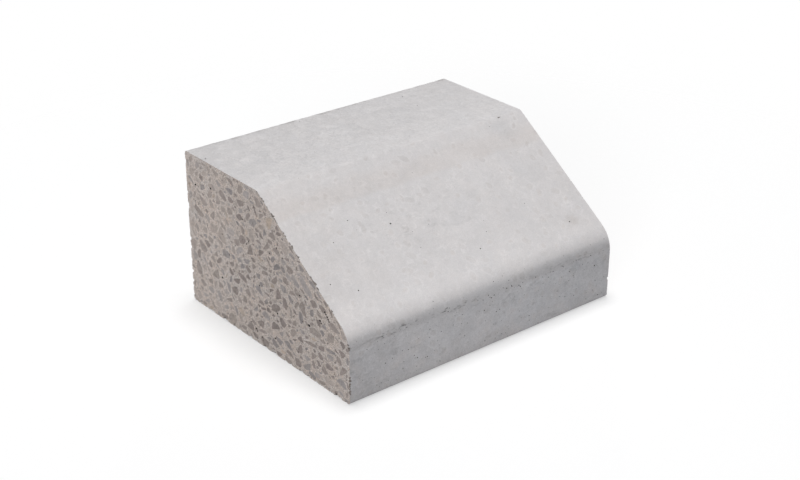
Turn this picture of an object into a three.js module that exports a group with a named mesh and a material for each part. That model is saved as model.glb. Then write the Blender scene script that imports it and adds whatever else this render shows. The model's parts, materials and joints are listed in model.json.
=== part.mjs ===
// A splayed concrete kerb stone, sawn to a short length and standing on its bed.
//
// The stone is one solid. Its section is the same all along: a level bed, an upright back, a level top,
// a long splay that falls towards the road, a full round nose and a short upright front. A mould forms
// all of these faces, so every corner between them is rounded. A saw cuts the two ends square, so the
// arrises there are sharp.
//
// Frame, in millimetres: X runs along the kerb, +Y points from the road to the footway, and +Z is up.
// The origin is on the bed, midway between the ends and midway between the front and the back.

import * as THREE from "three";

// Overall sizes.
const LENGTH = 303; // from one sawn end to the other
const BED_DEPTH = 240; // from the upright front to the back
const BACK_HEIGHT = 150; // from the bed to the level top

// The stepped sizes of the section, measured to its corners as if they were sharp.
const TOP_DEPTH = 114; // level top, from the back to the crease
const FRONT_HEIGHT = 62.5; // upright front, from the bed to the nose

// The radius of each moulded corner.
const NOSE_RADIUS = 28;
const CREASE_RADIUS = 8;
const BACK_ARRIS_RADIUS = 3;
const BED_ARRIS_RADIUS = 3.5;

// Each rounded corner gets twice this many facets.
const ARC_DIVISIONS = 8;

// Weathered grey of the cast concrete.
const CONCRETE = { color: 0xc9c8c7, roughness: 0.88, metalness: 0 };

// The section's sharp corners in (y, z), anticlockwise from the foot of the front, with their radii.
function sectionCorners() {
  const frontY = -BED_DEPTH / 2;
  const backY = BED_DEPTH / 2;
  return [
    { at: new THREE.Vector2(frontY, 0), radius: BED_ARRIS_RADIUS },
    { at: new THREE.Vector2(backY, 0), radius: BED_ARRIS_RADIUS },
    { at: new THREE.Vector2(backY, BACK_HEIGHT), radius: BACK_ARRIS_RADIUS },
    { at: new THREE.Vector2(backY - TOP_DEPTH, BACK_HEIGHT), radius: CREASE_RADIUS },
    { at: new THREE.Vector2(frontY, FRONT_HEIGHT), radius: NOSE_RADIUS },
  ];
}

// The arc of the given radius that touches both sides of a corner.
function tangentArc(before, corner, after, radius) {
  const towardsBefore = before.clone().sub(corner).normalize();
  const towardsAfter = after.clone().sub(corner).normalize();
  const halfAngle = Math.acos(towardsBefore.dot(towardsAfter)) / 2;
  const start = corner.clone().addScaledVector(towardsBefore, radius / Math.tan(halfAngle));
  const end = corner.clone().addScaledVector(towardsAfter, radius / Math.tan(halfAngle));
  const bisector = towardsBefore.clone().add(towardsAfter).normalize();
  const centre = corner.clone().addScaledVector(bisector, radius / Math.sin(halfAngle));
  return {
    centre,
    startAngle: Math.atan2(start.y - centre.y, start.x - centre.x),
    endAngle: Math.atan2(end.y - centre.y, end.x - centre.x),
  };
}

// A closed outline that rounds each corner. Shape.absarc draws the straight side up to each arc.
function roundedOutline(corners) {
  const outline = new THREE.Shape();
  corners.forEach(({ at, radius }, i) => {
    const before = corners[(i + corners.length - 1) % corners.length].at;
    const after = corners[(i + 1) % corners.length].at;
    const arc = tangentArc(before, at, after, radius);
    outline.absarc(arc.centre.x, arc.centre.y, radius, arc.startAngle, arc.endAngle, false);
  });
  outline.closePath();
  return outline;
}

// The section drawn in the Y-Z plane and run along X, with half of the length on each side of the origin.
function kerbGeometry() {
  const geometry = new THREE.ExtrudeGeometry(roundedOutline(sectionCorners()), {
    depth: LENGTH,
    bevelEnabled: false,
    curveSegments: ARC_DIVISIONS,
  });
  const sectionToFrame = new THREE.Matrix4().makeBasis(
    new THREE.Vector3(0, 1, 0),
    new THREE.Vector3(0, 0, 1),
    new THREE.Vector3(1, 0, 0),
  );
  return geometry.translate(0, 0, -LENGTH / 2).applyMatrix4(sectionToFrame);
}

const kerbStone = new THREE.Mesh(kerbGeometry(), new THREE.MeshStandardMaterial(CONCRETE));
kerbStone.name = "kerb_stone";

const kerb = new THREE.Group();
kerb.add(kerbStone);

export default kerb;
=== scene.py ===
# %% [markdown]
# # A splayed concrete kerb stone
# The object is one stone. It was cast in a steel mould, so its top, splay, nose and front are close and
# pale. Its back was the open side of the mould, struck off by hand, so it is rough and wavy. A saw then cut
# it to this short length, and both ends show the crushed stone inside the concrete.
#
# The notebook makes the cast body first, then the crushed stone for its two ends, and then the holes and
# bites that air, the saw and knocks leave in both. Three meshes come out of it: the body, and the stones
# that each end shows. The finishes, the floor and the lamps come last.

import json
import math
import random

import bmesh
import bpy
import numpy as np
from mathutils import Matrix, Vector

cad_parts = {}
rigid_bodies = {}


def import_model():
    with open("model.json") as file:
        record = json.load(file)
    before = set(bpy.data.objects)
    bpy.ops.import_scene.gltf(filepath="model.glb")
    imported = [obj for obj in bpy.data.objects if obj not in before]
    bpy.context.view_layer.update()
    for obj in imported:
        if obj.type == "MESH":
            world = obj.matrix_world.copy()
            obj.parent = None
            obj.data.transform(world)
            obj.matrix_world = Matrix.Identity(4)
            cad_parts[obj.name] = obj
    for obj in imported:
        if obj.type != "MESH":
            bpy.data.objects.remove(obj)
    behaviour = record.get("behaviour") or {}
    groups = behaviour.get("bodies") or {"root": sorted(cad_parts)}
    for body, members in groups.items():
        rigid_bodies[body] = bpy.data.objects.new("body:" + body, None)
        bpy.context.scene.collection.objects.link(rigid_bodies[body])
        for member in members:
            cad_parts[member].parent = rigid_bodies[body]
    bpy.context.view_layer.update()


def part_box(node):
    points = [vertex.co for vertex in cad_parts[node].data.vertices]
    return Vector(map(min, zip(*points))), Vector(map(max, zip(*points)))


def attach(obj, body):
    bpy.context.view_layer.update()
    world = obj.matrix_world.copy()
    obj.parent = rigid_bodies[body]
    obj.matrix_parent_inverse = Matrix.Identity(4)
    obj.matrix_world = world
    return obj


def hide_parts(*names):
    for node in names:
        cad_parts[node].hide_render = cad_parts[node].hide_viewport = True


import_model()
MM = 0.001


def in_mm(values):
    return [round(value / MM, 2) for value in values]


# %% [markdown]
# ## The camera
# The camera comes first, so that everything after it can be looked at. It stands to the left of the stone
# and in front of it, about 1.4 metres away, and sees one sawn end, the front, the splay and the top.

# %% Place the camera
CAMERA_PLACE = (-0.7800, -0.9540, 0.6583)
CAMERA_TURN = (64.099, -0.148, -39.159)  # degrees about X, Y and Z
LENS = 67.07  # mm, on a sensor 36 mm wide


def put(name, data):
    """A new object in the scene, made of the data given."""
    made = bpy.data.objects.new(name, data)
    bpy.context.scene.collection.objects.link(made)
    return made


lens = bpy.data.cameras.new("camera")
lens.lens = LENS
lens.sensor_width = 36.0
lens.clip_start = 0.01
camera = put("camera", lens)
camera.location = CAMERA_PLACE
camera.rotation_euler = [math.radians(angle) for angle in CAMERA_TURN]
bpy.context.scene.camera = camera
print("camera to the middle of the stone:", round((camera.location - Vector((0, 0, 0.07))).length, 3), "m")

# %% [markdown]
# ## The sizes
# The section is the one that the mould maker draws: five corners, joined by straight sides, each corner
# rounded with its own radius. The three overall sizes are read off the CAD node. The others are the stepped
# sizes inside that box, the same as in the CAD source.

# %% Read and name the sizes
low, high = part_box("kerb_stone")
SIZES = {
    "Length": high.x - low.x,
    "Bed Depth": high.y - low.y,
    "Back Height": high.z - low.z,
    "Top Depth": 114 * MM,
    "Front Height": 62.5 * MM,
    "Nose Radius": 28 * MM,
    "Crease Radius": 8 * MM,
    "Back Arris Radius": 3 * MM,
    "Bed Arris Radius": 3.5 * MM,
}
HALF_LENGTH = SIZES["Length"] / 2
FRONT_Y = -SIZES["Bed Depth"] / 2
BACK_Y = SIZES["Bed Depth"] / 2
TOP_Z = SIZES["Back Height"]
CREASE = Vector((0, BACK_Y - SIZES["Top Depth"], TOP_Z))
NOSE = Vector((0, FRONT_Y, SIZES["Front Height"]))
print("length, depth and height in mm:", in_mm(high - low))

# %% [markdown]
# ## A short way to write node trees
# Node trees are usually drawn by hand in the editor. In a script each node, value and link is a line of its
# own, which soon hides the idea. This small class keeps one call for each node: a value may be a number or
# the output of another node, and a list feeds a socket that takes several links.

# %% A class that writes node trees
class Tree:
    """Adds nodes to one node tree. Sockets are named, and their values are numbers or outputs."""

    KINDS = {float: "Float", int: "Int", bool: "Bool", tuple: "Vector"}

    def __init__(self, tree):
        self.tree = tree

    def feed(self, socket, value):
        if isinstance(value, list):
            for one in value:
                self.tree.links.new(one, socket)
        elif isinstance(value, bpy.types.NodeSocket):
            self.tree.links.new(value, socket)
        else:
            socket.default_value = value

    def add(self, kind, sockets=None, **settings):
        """Adds a node and returns it."""
        node = self.tree.nodes.new(kind)
        for name, value in settings.items():
            setattr(node, name, value)
        for name, value in (sockets or {}).items():
            self.feed(next(s for s in node.inputs if s.enabled and s.name == name), value)
        return node

    def out(self, kind, sockets=None, output=None, **settings):
        """Adds a node and returns one of its outputs, the first if none is named."""
        node = self.add(kind, sockets, **settings)
        return next(s for s in node.outputs if s.enabled and output in (None, s.name))

    def feed_in_order(self, node, values):
        for socket, value in zip(node.inputs, values):
            self.feed(socket, value)

    def math(self, operation, *values, clamp=False):
        node = self.add("ShaderNodeMath", operation=operation, use_clamp=clamp)
        self.feed_in_order(node, values)
        return node.outputs[0]

    def vector(self, operation, *values, **named):
        node = self.add("ShaderNodeVectorMath", named, operation=operation)
        self.feed_in_order(node, values)
        return next(s for s in node.outputs if s.enabled)

    def ramp(self, value, start, end, low=0.0, high=1.0, smooth=False):
        """Turns value from start to end into low to high, and holds it there outside."""
        return self.out(
            "ShaderNodeMapRange",
            {"Value": value, "From Min": start, "From Max": end, "To Min": low, "To Max": high},
            interpolation_type="SMOOTHSTEP" if smooth else "LINEAR",
        )

    def soft(self, value, start, end, low=0.0, high=1.0):
        """The same with a soft beginning and end."""
        return self.ramp(value, start, end, low, high, smooth=True)

    def split(self, vector):
        """The X, Y and Z of a vector."""
        return self.add("ShaderNodeSeparateXYZ", {"Vector": vector}).outputs

    def join(self, x=0.0, y=0.0, z=0.0):
        return self.out("ShaderNodeCombineXYZ", {"X": x, "Y": y, "Z": z})

    def times(self, first, *others):
        """The product of values. Of masks, it is what they have in common."""
        for other in others:
            first = self.math("MULTIPLY", first, other)
        return first

    def group(self, other, sockets, output=None):
        kind = "GeometryNodeGroup" if self.tree.bl_idname == "GeometryNodeTree" else "ShaderNodeGroup"
        node = self.tree.nodes.new(kind)
        node.node_tree = other
        for name, value in sockets.items():
            self.feed(node.inputs[name], value)
        return node if output is None else node.outputs[output]


print("inputs can be given as", ", ".join(kind.__name__ for kind in Tree.KINDS), "or a socket type")

# %% Helpers that open a node group, run one and measure what it made
def open_group(name, inputs, outputs, kind="GeometryNodeTree"):
    """Starts a node group. An output is given by its type, and an input by its type or a default value."""
    tree = bpy.data.node_groups.new(name, kind)
    for label, value in inputs.items():
        is_type = isinstance(value, str)
        socket_type = "NodeSocket" + (value if is_type else Tree.KINDS[type(value)])
        made = tree.interface.new_socket(label, in_out="INPUT", socket_type=socket_type)
        if not is_type:
            made.default_value = value
    for label, output in outputs.items():
        tree.interface.new_socket(label, in_out="OUTPUT", socket_type="NodeSocket" + output)
    given = tree.nodes.new("NodeGroupInput").outputs
    result = tree.nodes.new("NodeGroupOutput").inputs
    return Tree(tree), given, result


def evaluated_mesh(name, tree, values):
    """Runs a Geometry Nodes tree on a new object and returns the finished mesh. The object is removed."""
    start = bpy.data.meshes.new("start")
    carrier = put(name, start)
    modifier = carrier.modifiers.new("nodes", "NODES")
    modifier.node_group = tree
    for item in tree.interface.items_tree:
        if item.in_out == "INPUT" and item.name in values:
            modifier[item.identifier] = values[item.name]
    bpy.context.view_layer.update()
    depsgraph = bpy.context.evaluated_depsgraph_get()
    mesh = bpy.data.meshes.new_from_object(carrier.evaluated_get(depsgraph))
    mesh.name = name
    bpy.data.objects.remove(carrier)
    bpy.data.meshes.remove(start)
    return mesh


def report(mesh):
    """Prints how big a mesh is, and whether it is closed."""
    counted = bmesh.new()
    counted.from_mesh(mesh)
    closed = all(edge.is_manifold for edge in counted.edges)
    triangles = sum(len(face.verts) - 2 for face in counted.faces)
    litres = counted.calc_volume(signed=True) * 1000
    print(f"{mesh.name}: {triangles} triangles, closed {closed}, {litres:.3f} litres")
    counted.free()


print("helpers:", ", ".join(helper.__name__ for helper in (open_group, evaluated_mesh, report)))

# %% [markdown]
# ## The section
# A mould maker draws the section once, and everything follows from it. Here it is a Geometry Nodes group:
# five points on a line, moved to the corners by their index, joined into a closed curve and rounded by
# Fillet Curve with a radius for each corner. The straight sides are then cut into short steps, because the
# surface needs points to be uneven with.

# %% Build the section as a node group
STEP = 2.4 * MM  # from one point of the surface to the next
BED_STEP = 3.0  # times longer across the bed, which lies flat
ARC_STEPS = 12  # in each rounded corner
ON_BED = 0.01 * MM  # a side with both its ends lower than this is part of the bed


def section_tree():
    inputs = {**SIZES, "Step": STEP}
    tree, given, result = open_group("kerb section", inputs, {"Section": "Geometry"})
    front = tree.times(given["Bed Depth"], -0.5)
    back = tree.times(given["Bed Depth"], 0.5)
    crease = tree.math("SUBTRACT", back, given["Top Depth"])
    corners = [
        (front, 0.0, "Bed Arris Radius"),
        (back, 0.0, "Bed Arris Radius"),
        (back, given["Back Height"], "Back Arris Radius"),
        (crease, given["Back Height"], "Crease Radius"),
        (front, given["Front Height"], "Nose Radius"),
    ]
    index = tree.out("GeometryNodeInputIndex")
    place = tree.add("GeometryNodeIndexSwitch", {"Index": index}, data_type="VECTOR")
    radius = tree.add("GeometryNodeIndexSwitch", {"Index": index}, data_type="FLOAT")
    for switch in (place, radius):
        while len(switch.index_switch_items) < len(corners):
            switch.index_switch_items.new()
    for number, (across, up, rounding) in enumerate(corners):
        tree.feed(place.inputs[str(number)], tree.join(across, up))
        tree.feed(radius.inputs[str(number)], given[rounding])

    line = tree.out("GeometryNodeMeshLine", {"Count": len(corners)})
    placed = tree.out("GeometryNodeSetPosition", {"Geometry": line, "Position": place.outputs[0]})
    curve = tree.out("GeometryNodeMeshToCurve", {"Mesh": placed})
    closed = tree.out("GeometryNodeSetSplineCyclic", {"Geometry": curve, "Cyclic": True})
    fillet = tree.add("GeometryNodeFilletCurve", mode="POLY")
    tree.feed_in_order(fillet, (closed, ARC_STEPS, radius.outputs[0]))

    here = tree.out("GeometryNodeInputPosition")
    one_on = {"Point Index": index, "Offset": 1}
    following = tree.out("GeometryNodeOffsetPointInCurve", one_on, output="Point Index")
    looked_up = {"Value": here, "Index": following}
    there = tree.out("GeometryNodeFieldAtIndex", looked_up, data_type="FLOAT_VECTOR")
    both_ends = tree.split(tree.vector("ADD", here, there))
    on_bed = tree.ramp(both_ends[1], ON_BED, 0.0)
    step = tree.times(given["Step"], tree.math("MULTIPLY_ADD", on_bed, BED_STEP - 1.0, 1.0))
    steps = tree.math("DIVIDE", tree.vector("DISTANCE", here, there), step)
    cuts = tree.math("FLOOR", steps)
    cut = tree.out("GeometryNodeSubdivideCurve", {"Curve": fillet.outputs[0], "Cuts": cuts})
    tree.feed(result["Section"], cut)
    return tree.tree


SECTION = section_tree()
print("section of", len(SECTION.nodes), "nodes")

# %% [markdown]
# ## The cast body
# The section is swept along the kerb with Curve to Mesh, and its ends are filled: that is the saw cut. A
# steel mould isn't perfect, and fresh concrete shrinks and settles, so the surface is then pushed in by up to
# half a millimetre with soft noise, in wide dents everywhere and in short ripples on the top. It only ever
# goes inwards, which keeps the stone inside its own box, and never along the kerb, which keeps the sawn ends
# flat. The back gets far more of it, in the short waves that a straightedge leaves. The input Skin sets the
# whole surface back: a second copy of the body, a little smaller and longer, will later keep the crushed
# stone behind its skin of cement.

# %% Build the cast body as a node group
CAST_INPUTS = {**SIZES, "Step": STEP, "Skin": 0.0, "Overrun": 0.0, "Dents": 0.22 * MM, "Back Waves": 1.5 * MM}
RIPPLES = 0.3 * MM  # how deep the short ripples of the top are
# The scales of the three noises: about how many waves there are in a metre.
DENT_SCALE, RIPPLE_SCALE, WAVE_SCALE = 30.0, 105.0, 125.0


def cast_tree():
    outputs = {"Kerb": "Geometry", "Section": "Geometry"}
    tree, given, result = open_group("cast kerb", CAST_INPUTS, outputs)
    section = tree.group(SECTION, {name: given[name] for name in [*SIZES, "Step"]}, output="Section")
    half = tree.math("MULTIPLY_ADD", given["Length"], 0.5, given["Overrun"])
    ends = {"Start": tree.join(tree.times(half, -1.0)), "End": tree.join(half)}
    line = tree.out("GeometryNodeCurvePrimitiveLine", ends)
    stations = tree.out("GeometryNodeResampleCurve", {"Curve": line, "Length": given["Step"]}, mode="LENGTH")
    upright = tree.out("GeometryNodeSetCurveNormal", {"Curve": stations, "Normal": (0, 1, 0)}, mode="FREE")
    sweep = {"Curve": upright, "Profile Curve": section, "Fill Caps": True}
    swept = tree.out("GeometryNodeCurveToMesh", sweep)

    place = tree.out("GeometryNodeInputPosition")
    _, y, z = tree.split(place)
    settling = tree.out("ShaderNodeTexNoise", {"Vector": place, "Scale": DENT_SCALE, "Detail": 2.0})
    dents = tree.times(tree.math("POWER", settling, 2.0), given["Dents"])
    ripple = tree.out("ShaderNodeTexNoise", {"Vector": place, "Scale": RIPPLE_SCALE, "Detail": 1.0})
    on_top = tree.soft(z, 143 * MM, 149 * MM)
    mostly_on_top = tree.math("MULTIPLY_ADD", on_top, 0.8, 0.2)
    ripples = tree.times(ripple, RIPPLES, mostly_on_top)
    stretched = tree.vector("MULTIPLY", place, (0.9, 1.0, 1.1))
    torn = {"Vector": stretched, "Scale": WAVE_SCALE, "Detail": 4.0, "Roughness": 0.72}
    struck = tree.out("ShaderNodeTexNoise", torn)
    near_back = tree.soft(y, BACK_Y - 4 * MM, BACK_Y - 0.5 * MM)
    waves = tree.times(tree.ramp(struck, 0.38, 0.75), given["Back Waves"])
    waves = tree.times(waves, tree.soft(z, TOP_Z - 9 * MM, TOP_Z - 1 * MM, 1.0, 0.3))
    on_bed = tree.ramp(z, 0.2 * MM, 1.5 * MM, 0.35, 1.0)
    depth = tree.math("ADD", tree.times(dents, on_bed), tree.times(ripples, on_bed))
    depth = tree.math("ADD", tree.math("MULTIPLY_ADD", waves, near_back, depth), given["Skin"])
    outwards = tree.vector("MULTIPLY", tree.out("GeometryNodeInputNormal"), (0, 1, 1))
    back_by = tree.times(depth, -1.0)
    inwards = tree.vector("SCALE", tree.vector("NORMALIZE", outwards), Scale=back_by)
    pushed = tree.out("GeometryNodeSetPosition", {"Geometry": swept, "Offset": inwards})
    tree.feed(result["Kerb"], pushed)
    tree.feed(result["Section"], section)
    return tree.tree


CAST = cast_tree()
cast_only = evaluated_mesh("cast_only", CAST, {})
report(cast_only)
bpy.data.meshes.remove(cast_only)

# %% [markdown]
# ## Crushed stone
# Quarried stone is broken, not rolled, so its lumps have flat faces and blunt corners. A convex hull round a
# few scattered points looks just like that and is cheap: no lump has more than a few dozen faces. A dozen
# different ones are enough, because each is turned, stretched and cut at another place. The same lumps
# serve twice: as the stones in the concrete, and as the shape of what breaks out of an edge.

# %% Make the lumps
LUMPS = 12
GOLDEN_ANGLE = 2.39996  # radians: turning by it each time spreads points evenly over a ball
SHAKE = 0.36  # how far the points are then shaken, as a share of the ball's radius
lumps = bpy.data.collections.new("crushed lumps")


def crushed_lump(name, chooser):
    """A hull round points spread evenly over a ball and then shaken, one unit from middle to side."""
    hull = bmesh.new()
    count = chooser.randint(7, 11)
    for number in range(count):
        height = 1 - 2 * (number + 0.5) / count
        around = number * GOLDEN_ANGLE
        flat = math.sqrt(1 - height * height)
        point = Vector((flat * math.cos(around), flat * math.sin(around), height))
        shake = Vector([chooser.gauss(0, SHAKE) for _ in range(3)])
        hull.verts.new((point + shake).normalized() * chooser.uniform(0.74, 1.0))
    made = bmesh.ops.convex_hull(hull, input=hull.verts)
    bmesh.ops.delete(hull, geom=list(set(made["geom_interior"] + made["geom_unused"])), context="VERTS")
    reach = [max(abs(vert.co[axis]) for vert in hull.verts) for axis in range(3)]
    for vert in hull.verts:
        vert.co = Vector([vert.co[axis] / reach[axis] for axis in range(3)])
    bmesh.ops.recalc_face_normals(hull, faces=hull.faces)
    mesh = bpy.data.meshes.new(name)
    hull.to_mesh(mesh)
    hull.free()
    lumps.objects.link(bpy.data.objects.new(name, mesh))
    return len(mesh.polygons)


quarry = random.Random(41)
faces = [crushed_lump(f"lump_{number:02d}", quarry) for number in range(LUMPS)]
print(LUMPS, "lumps with", min(faces), "to", max(faces), "faces")

# %% [markdown]
# ## Packing the crushed stone
# Concrete holds every size of stone, from grit up to the largest that the kerb allows, and a saw cut shows
# them as angular islands that never touch. Scattering them at random overlaps them, and a grid looks false.
# So each end is filled as a mixer does it: the largest first, then smaller and smaller into the gaps that
# are left, each tried in many places until one is free. Stones are longer than they are wide, and next to
# the mould they lie along it. Three discs stand for each stone while it looks for its place.

# %% Fill one end with stones
# The longest side of the stones of each size, in mm, from and to, and how many of them to place.
SIEVE = [
    (20.0, 15.5, 9),
    (15.5, 11.5, 74),
    (11.5, 8.4, 140),
    (8.4, 6.0, 150),
    (6.0, 4.2, 150),
    (4.2, 2.6, 120),
]
SLIMNESS = (1.8, 0.4)  # how many times longer than wide a stone is: the mean and the spread
LEAST_SLIM, MOST_SLIM = 1.2, 3.0
GAP = (0.1 * MM, 0.95 * MM)  # mortar between two stones
SWELL = 1.12  # a broken stone fills its oval less than a round one would, so it is made this much bigger
WALLS = [
    (Vector((0, FRONT_Y, 0)), Vector((0, 0, 1))),
    (Vector((0, BACK_Y, 0)), Vector((0, -1, 0))),
    (Vector((0, BACK_Y, TOP_Z)), Vector((0, 0, -1))),
    (CREASE, Vector((1, 0, 0)).cross(NOSE - CREASE).normalized()),
    (NOSE, Vector((0, 1, 0))),
]
CEMENT_SKIN = 0.6 * MM  # between the mould and the nearest stone
HELD_BY_WALL = 22 * MM  # nearer to the mould than this, a stone tends to lie along it
TRIES = 90  # places that are tried for a stone before it is left out


def clearances(y, z):
    """How far a point of the section is from each of its walls, positive inside."""
    return [(Vector((0, y, z)) - foot).dot(inward) for foot, inward in WALLS]


def discs(y, z, long, short, tilt):
    """Three discs along a stone, as rows of y, z and radius. The two outer ones are smaller."""
    reach = long - 0.8 * short
    return [
        (y + side * reach * math.cos(tilt), z + side * reach * math.sin(tilt), short * share)
        for side, share in ((-1, 0.72), (0, 1.0), (1, 0.72))
    ]


def too_near(disc, taken, gap):
    """Whether a disc leaves less than the gap to any of the discs that are taken."""
    apart = np.hypot(taken[:, 0] - disc[0], taken[:, 1] - disc[1])
    return (apart < taken[:, 2] + disc[2] + gap).any()


def pack_end(seed):
    """Places the stones of one end. Each is y, z, half its length, half its width, tilt."""
    chooser = random.Random(seed)
    taken = np.empty((0, 3))
    stones = []
    for largest, smallest, count in SIEVE:
        for _ in range(count):
            long = chooser.uniform(smallest, largest) * MM / 2
            short = long / min(MOST_SLIM, max(LEAST_SLIM, chooser.gauss(*SLIMNESS)))
            gap = chooser.uniform(*GAP)
            for _ in range(TRIES):
                y = chooser.uniform(FRONT_Y, BACK_Y)
                z = chooser.uniform(0, TOP_Z)
                walls = clearances(y, z)
                nearest = min(range(len(walls)), key=walls.__getitem__)
                if walls[nearest] < short + CEMENT_SKIN:
                    continue
                inward = WALLS[nearest][1]
                along_wall = math.atan2(inward.y, -inward.z)
                held = max(0.0, 1 - walls[nearest] / HELD_BY_WALL)
                main_tilt = along_wall if chooser.random() < held else 0.0
                tilt = chooser.gauss(main_tilt, 0.25 + 0.45 * (1 - held))
                rows = discs(y, z, long, short, tilt)
                if min(min(clearances(*row[:2])) - row[2] for row in rows) < CEMENT_SKIN:
                    continue
                if any(too_near(row, taken, gap) for row in rows):
                    continue
                taken = np.vstack([taken, rows])
                stones.append((y, z, long, short, tilt))
                break
    covered = sum(math.pi * stone[2] * stone[3] for stone in stones)
    print(f"{len(stones)} stones, {covered / MM**2:.0f} square mm with seed {seed}")
    return stones


ENDS = {"left stones": (-1, 7), "right stones": (1, 19)}  # the side of each end, and a seed for chance
packed = {name: pack_end(seed) for name, (_, seed) in ENDS.items()}

# %% [markdown]
# ## From places to stones
# The places become a cloud of points. Geometry Nodes puts a lump on each, stretched to its size and turned
# to its tilt, with all that it needs stored on the points as named attributes. The middle of a stone lies on
# the saw cut or just outside it, so the stone is widest where it shows and gets narrower inside, and two
# stones that don't touch in the cut don't touch behind it.

# %% Turn the places into a cloud of points
def cloud(name, places, **attributes):
    """A mesh of loose points. Each attribute is a list with one value for each point."""
    mesh = bpy.data.meshes.new(name)
    mesh.from_pydata([tuple(place) for place in places], [], [])
    for label, values in attributes.items():
        if isinstance(values[0], int):
            mesh.attributes.new(label, "INT", "POINT").data.foreach_set("value", values)
        else:
            flat = [number for value in values for number in value]
            mesh.attributes.new(label, "FLOAT_VECTOR", "POINT").data.foreach_set("vector", flat)
    return mesh


def stone_cloud(name, stones, side, seed):
    """The cloud for one end. Side is -1 for the left end and 1 for the right."""
    chooser = random.Random(seed)
    places, sizes, turns, lump_numbers = [], [], [], []
    for y, z, long, short, tilt in stones:
        deep = chooser.uniform(short, 0.5 * (short + long))
        outside = chooser.uniform(0.02, 0.3) * deep
        places.append((side * (HALF_LENGTH + outside), y, z))
        sizes.append((deep, long * SWELL, short * SWELL))
        turns.append((tilt + math.pi * chooser.randint(0, 1), 0.0, 0.0))
        lump_numbers.append(chooser.randrange(LUMPS))
    return cloud(name, places, size=sizes, turn=turns, lump=lump_numbers)


clouds = {name: put(name, stone_cloud(name, packed[name], side, seed)) for name, (side, seed) in ENDS.items()}
print("points in each cloud:", [len(made.data.vertices) for made in clouds.values()])

# %% [markdown]
# ## What the saw leaves of the stones
# The stones of one end, as whole lumps, are first cut back to the inside of the cement skin: that is the
# cast body again, a little smaller all round and a little longer. What lies inside the kerb is then the
# stone that shows in the saw cut. The Manifold solver of Mesh Boolean does this exactly and in a moment.

# %% Build the stones of one end as a node group
SKIN = 0.45 * MM  # of cement over every stone near the mould
# The inner body is coarse and nearly smooth, and longer than the kerb, so it cuts no stone at its outer end.
INNER_BODY = {"Overrun": 30 * MM, "Step": 12 * MM, "Dents": 0.0, "Back Waves": 0.9 * MM}


def attribute(tree, name, kind):
    return tree.out("GeometryNodeInputNamedAttribute", {"Name": name}, data_type=kind)


def each_of(tree, collection):
    """The objects of a collection, each as an instance of its own."""
    sockets = {"Collection": collection, "Separate Children": True, "Reset Children": True}
    return tree.out("GeometryNodeCollectionInfo", sockets)


def boolean(tree, operation, first, others):
    node = tree.add("GeometryNodeMeshBoolean", operation=operation, solver="MANIFOLD")
    if operation == "DIFFERENCE":
        tree.feed(node.inputs["Mesh 1"], first)
        tree.feed(node.inputs["Mesh 2"], others)
    else:
        tree.feed(node.inputs["Mesh 2"], [first, *others])
    return node.outputs["Mesh"]


def stones_tree():
    inputs = {"Cloud": "Object", "Lumps": "Collection", **SIZES, "Skin": SKIN}
    tree, given, result = open_group("stones of an end", inputs, {"Stones": "Geometry"})
    points = tree.out("GeometryNodeObjectInfo", {"Object": given["Cloud"]}, output="Geometry")
    turn = attribute(tree, "turn", "FLOAT_VECTOR")
    placed = tree.out(
        "GeometryNodeInstanceOnPoints",
        {
            "Points": points,
            "Instance": each_of(tree, given["Lumps"]),
            "Pick Instance": True,
            "Instance Index": attribute(tree, "lump", "INT"),
            "Rotation": tree.out("FunctionNodeEulerToRotation", {"Euler": turn}),
            "Scale": attribute(tree, "size", "FLOAT_VECTOR"),
        },
    )
    stones = boolean(tree, "UNION", placed, [])
    behind_skin = {name: given[name] for name in [*SIZES, "Skin"]}
    inside = tree.group(CAST, {**behind_skin, **INNER_BODY}, output="Kerb")
    tree.feed(result["Stones"], boolean(tree, "INTERSECT", stones, [inside]))
    return tree.tree


STONES = stones_tree()
print("stones:", len(STONES.nodes), "nodes")

# %% [markdown]
# ## What is missing from the surface
# Air bubbles against the mould leave bug holes, small round pits. They are few on the faces that look up,
# and many on the upright front, where air can't rise away. Below the nose, where bubbles gather under the
# overhang of the mould, they run together into a broken line of shallow marks. The saw tears grit out of the
# arris at each end, and opens voids in the cut face. All of these are real hollows here: small bodies set
# on the surface and taken away from the kerb, so light falls into them from any side.
#
# The larger marks have a place of their own. They are written down face by face, as a distance along the
# kerb and a distance on the face. On the left cut, a mark is placed by how far it is behind the middle of
# the kerb and how high, and its first size is its half height.

# %% Write down the marks
SPLAY_DOWN = (NOSE - CREASE).normalized()
SPLAY_OUT = SPLAY_DOWN.cross(Vector((1, 0, 0))).normalized()
BUBBLE, CHUNK = 0, 1


def on_top(x, from_back):
    return Vector((x * MM, BACK_Y - from_back * MM, TOP_Z)), Vector((0, 0, 1))


def on_splay(x, below_crease):
    return CREASE + SPLAY_DOWN * (below_crease * MM) + Vector((x * MM, 0, 0)), SPLAY_OUT


def on_front(x, height):
    return Vector((x * MM, FRONT_Y, height * MM)), Vector((0, -1, 0))


def on_left_cut(y, height):
    return Vector((-HALF_LENGTH, y * MM, height * MM)), Vector((-1, 0, 0))


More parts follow.
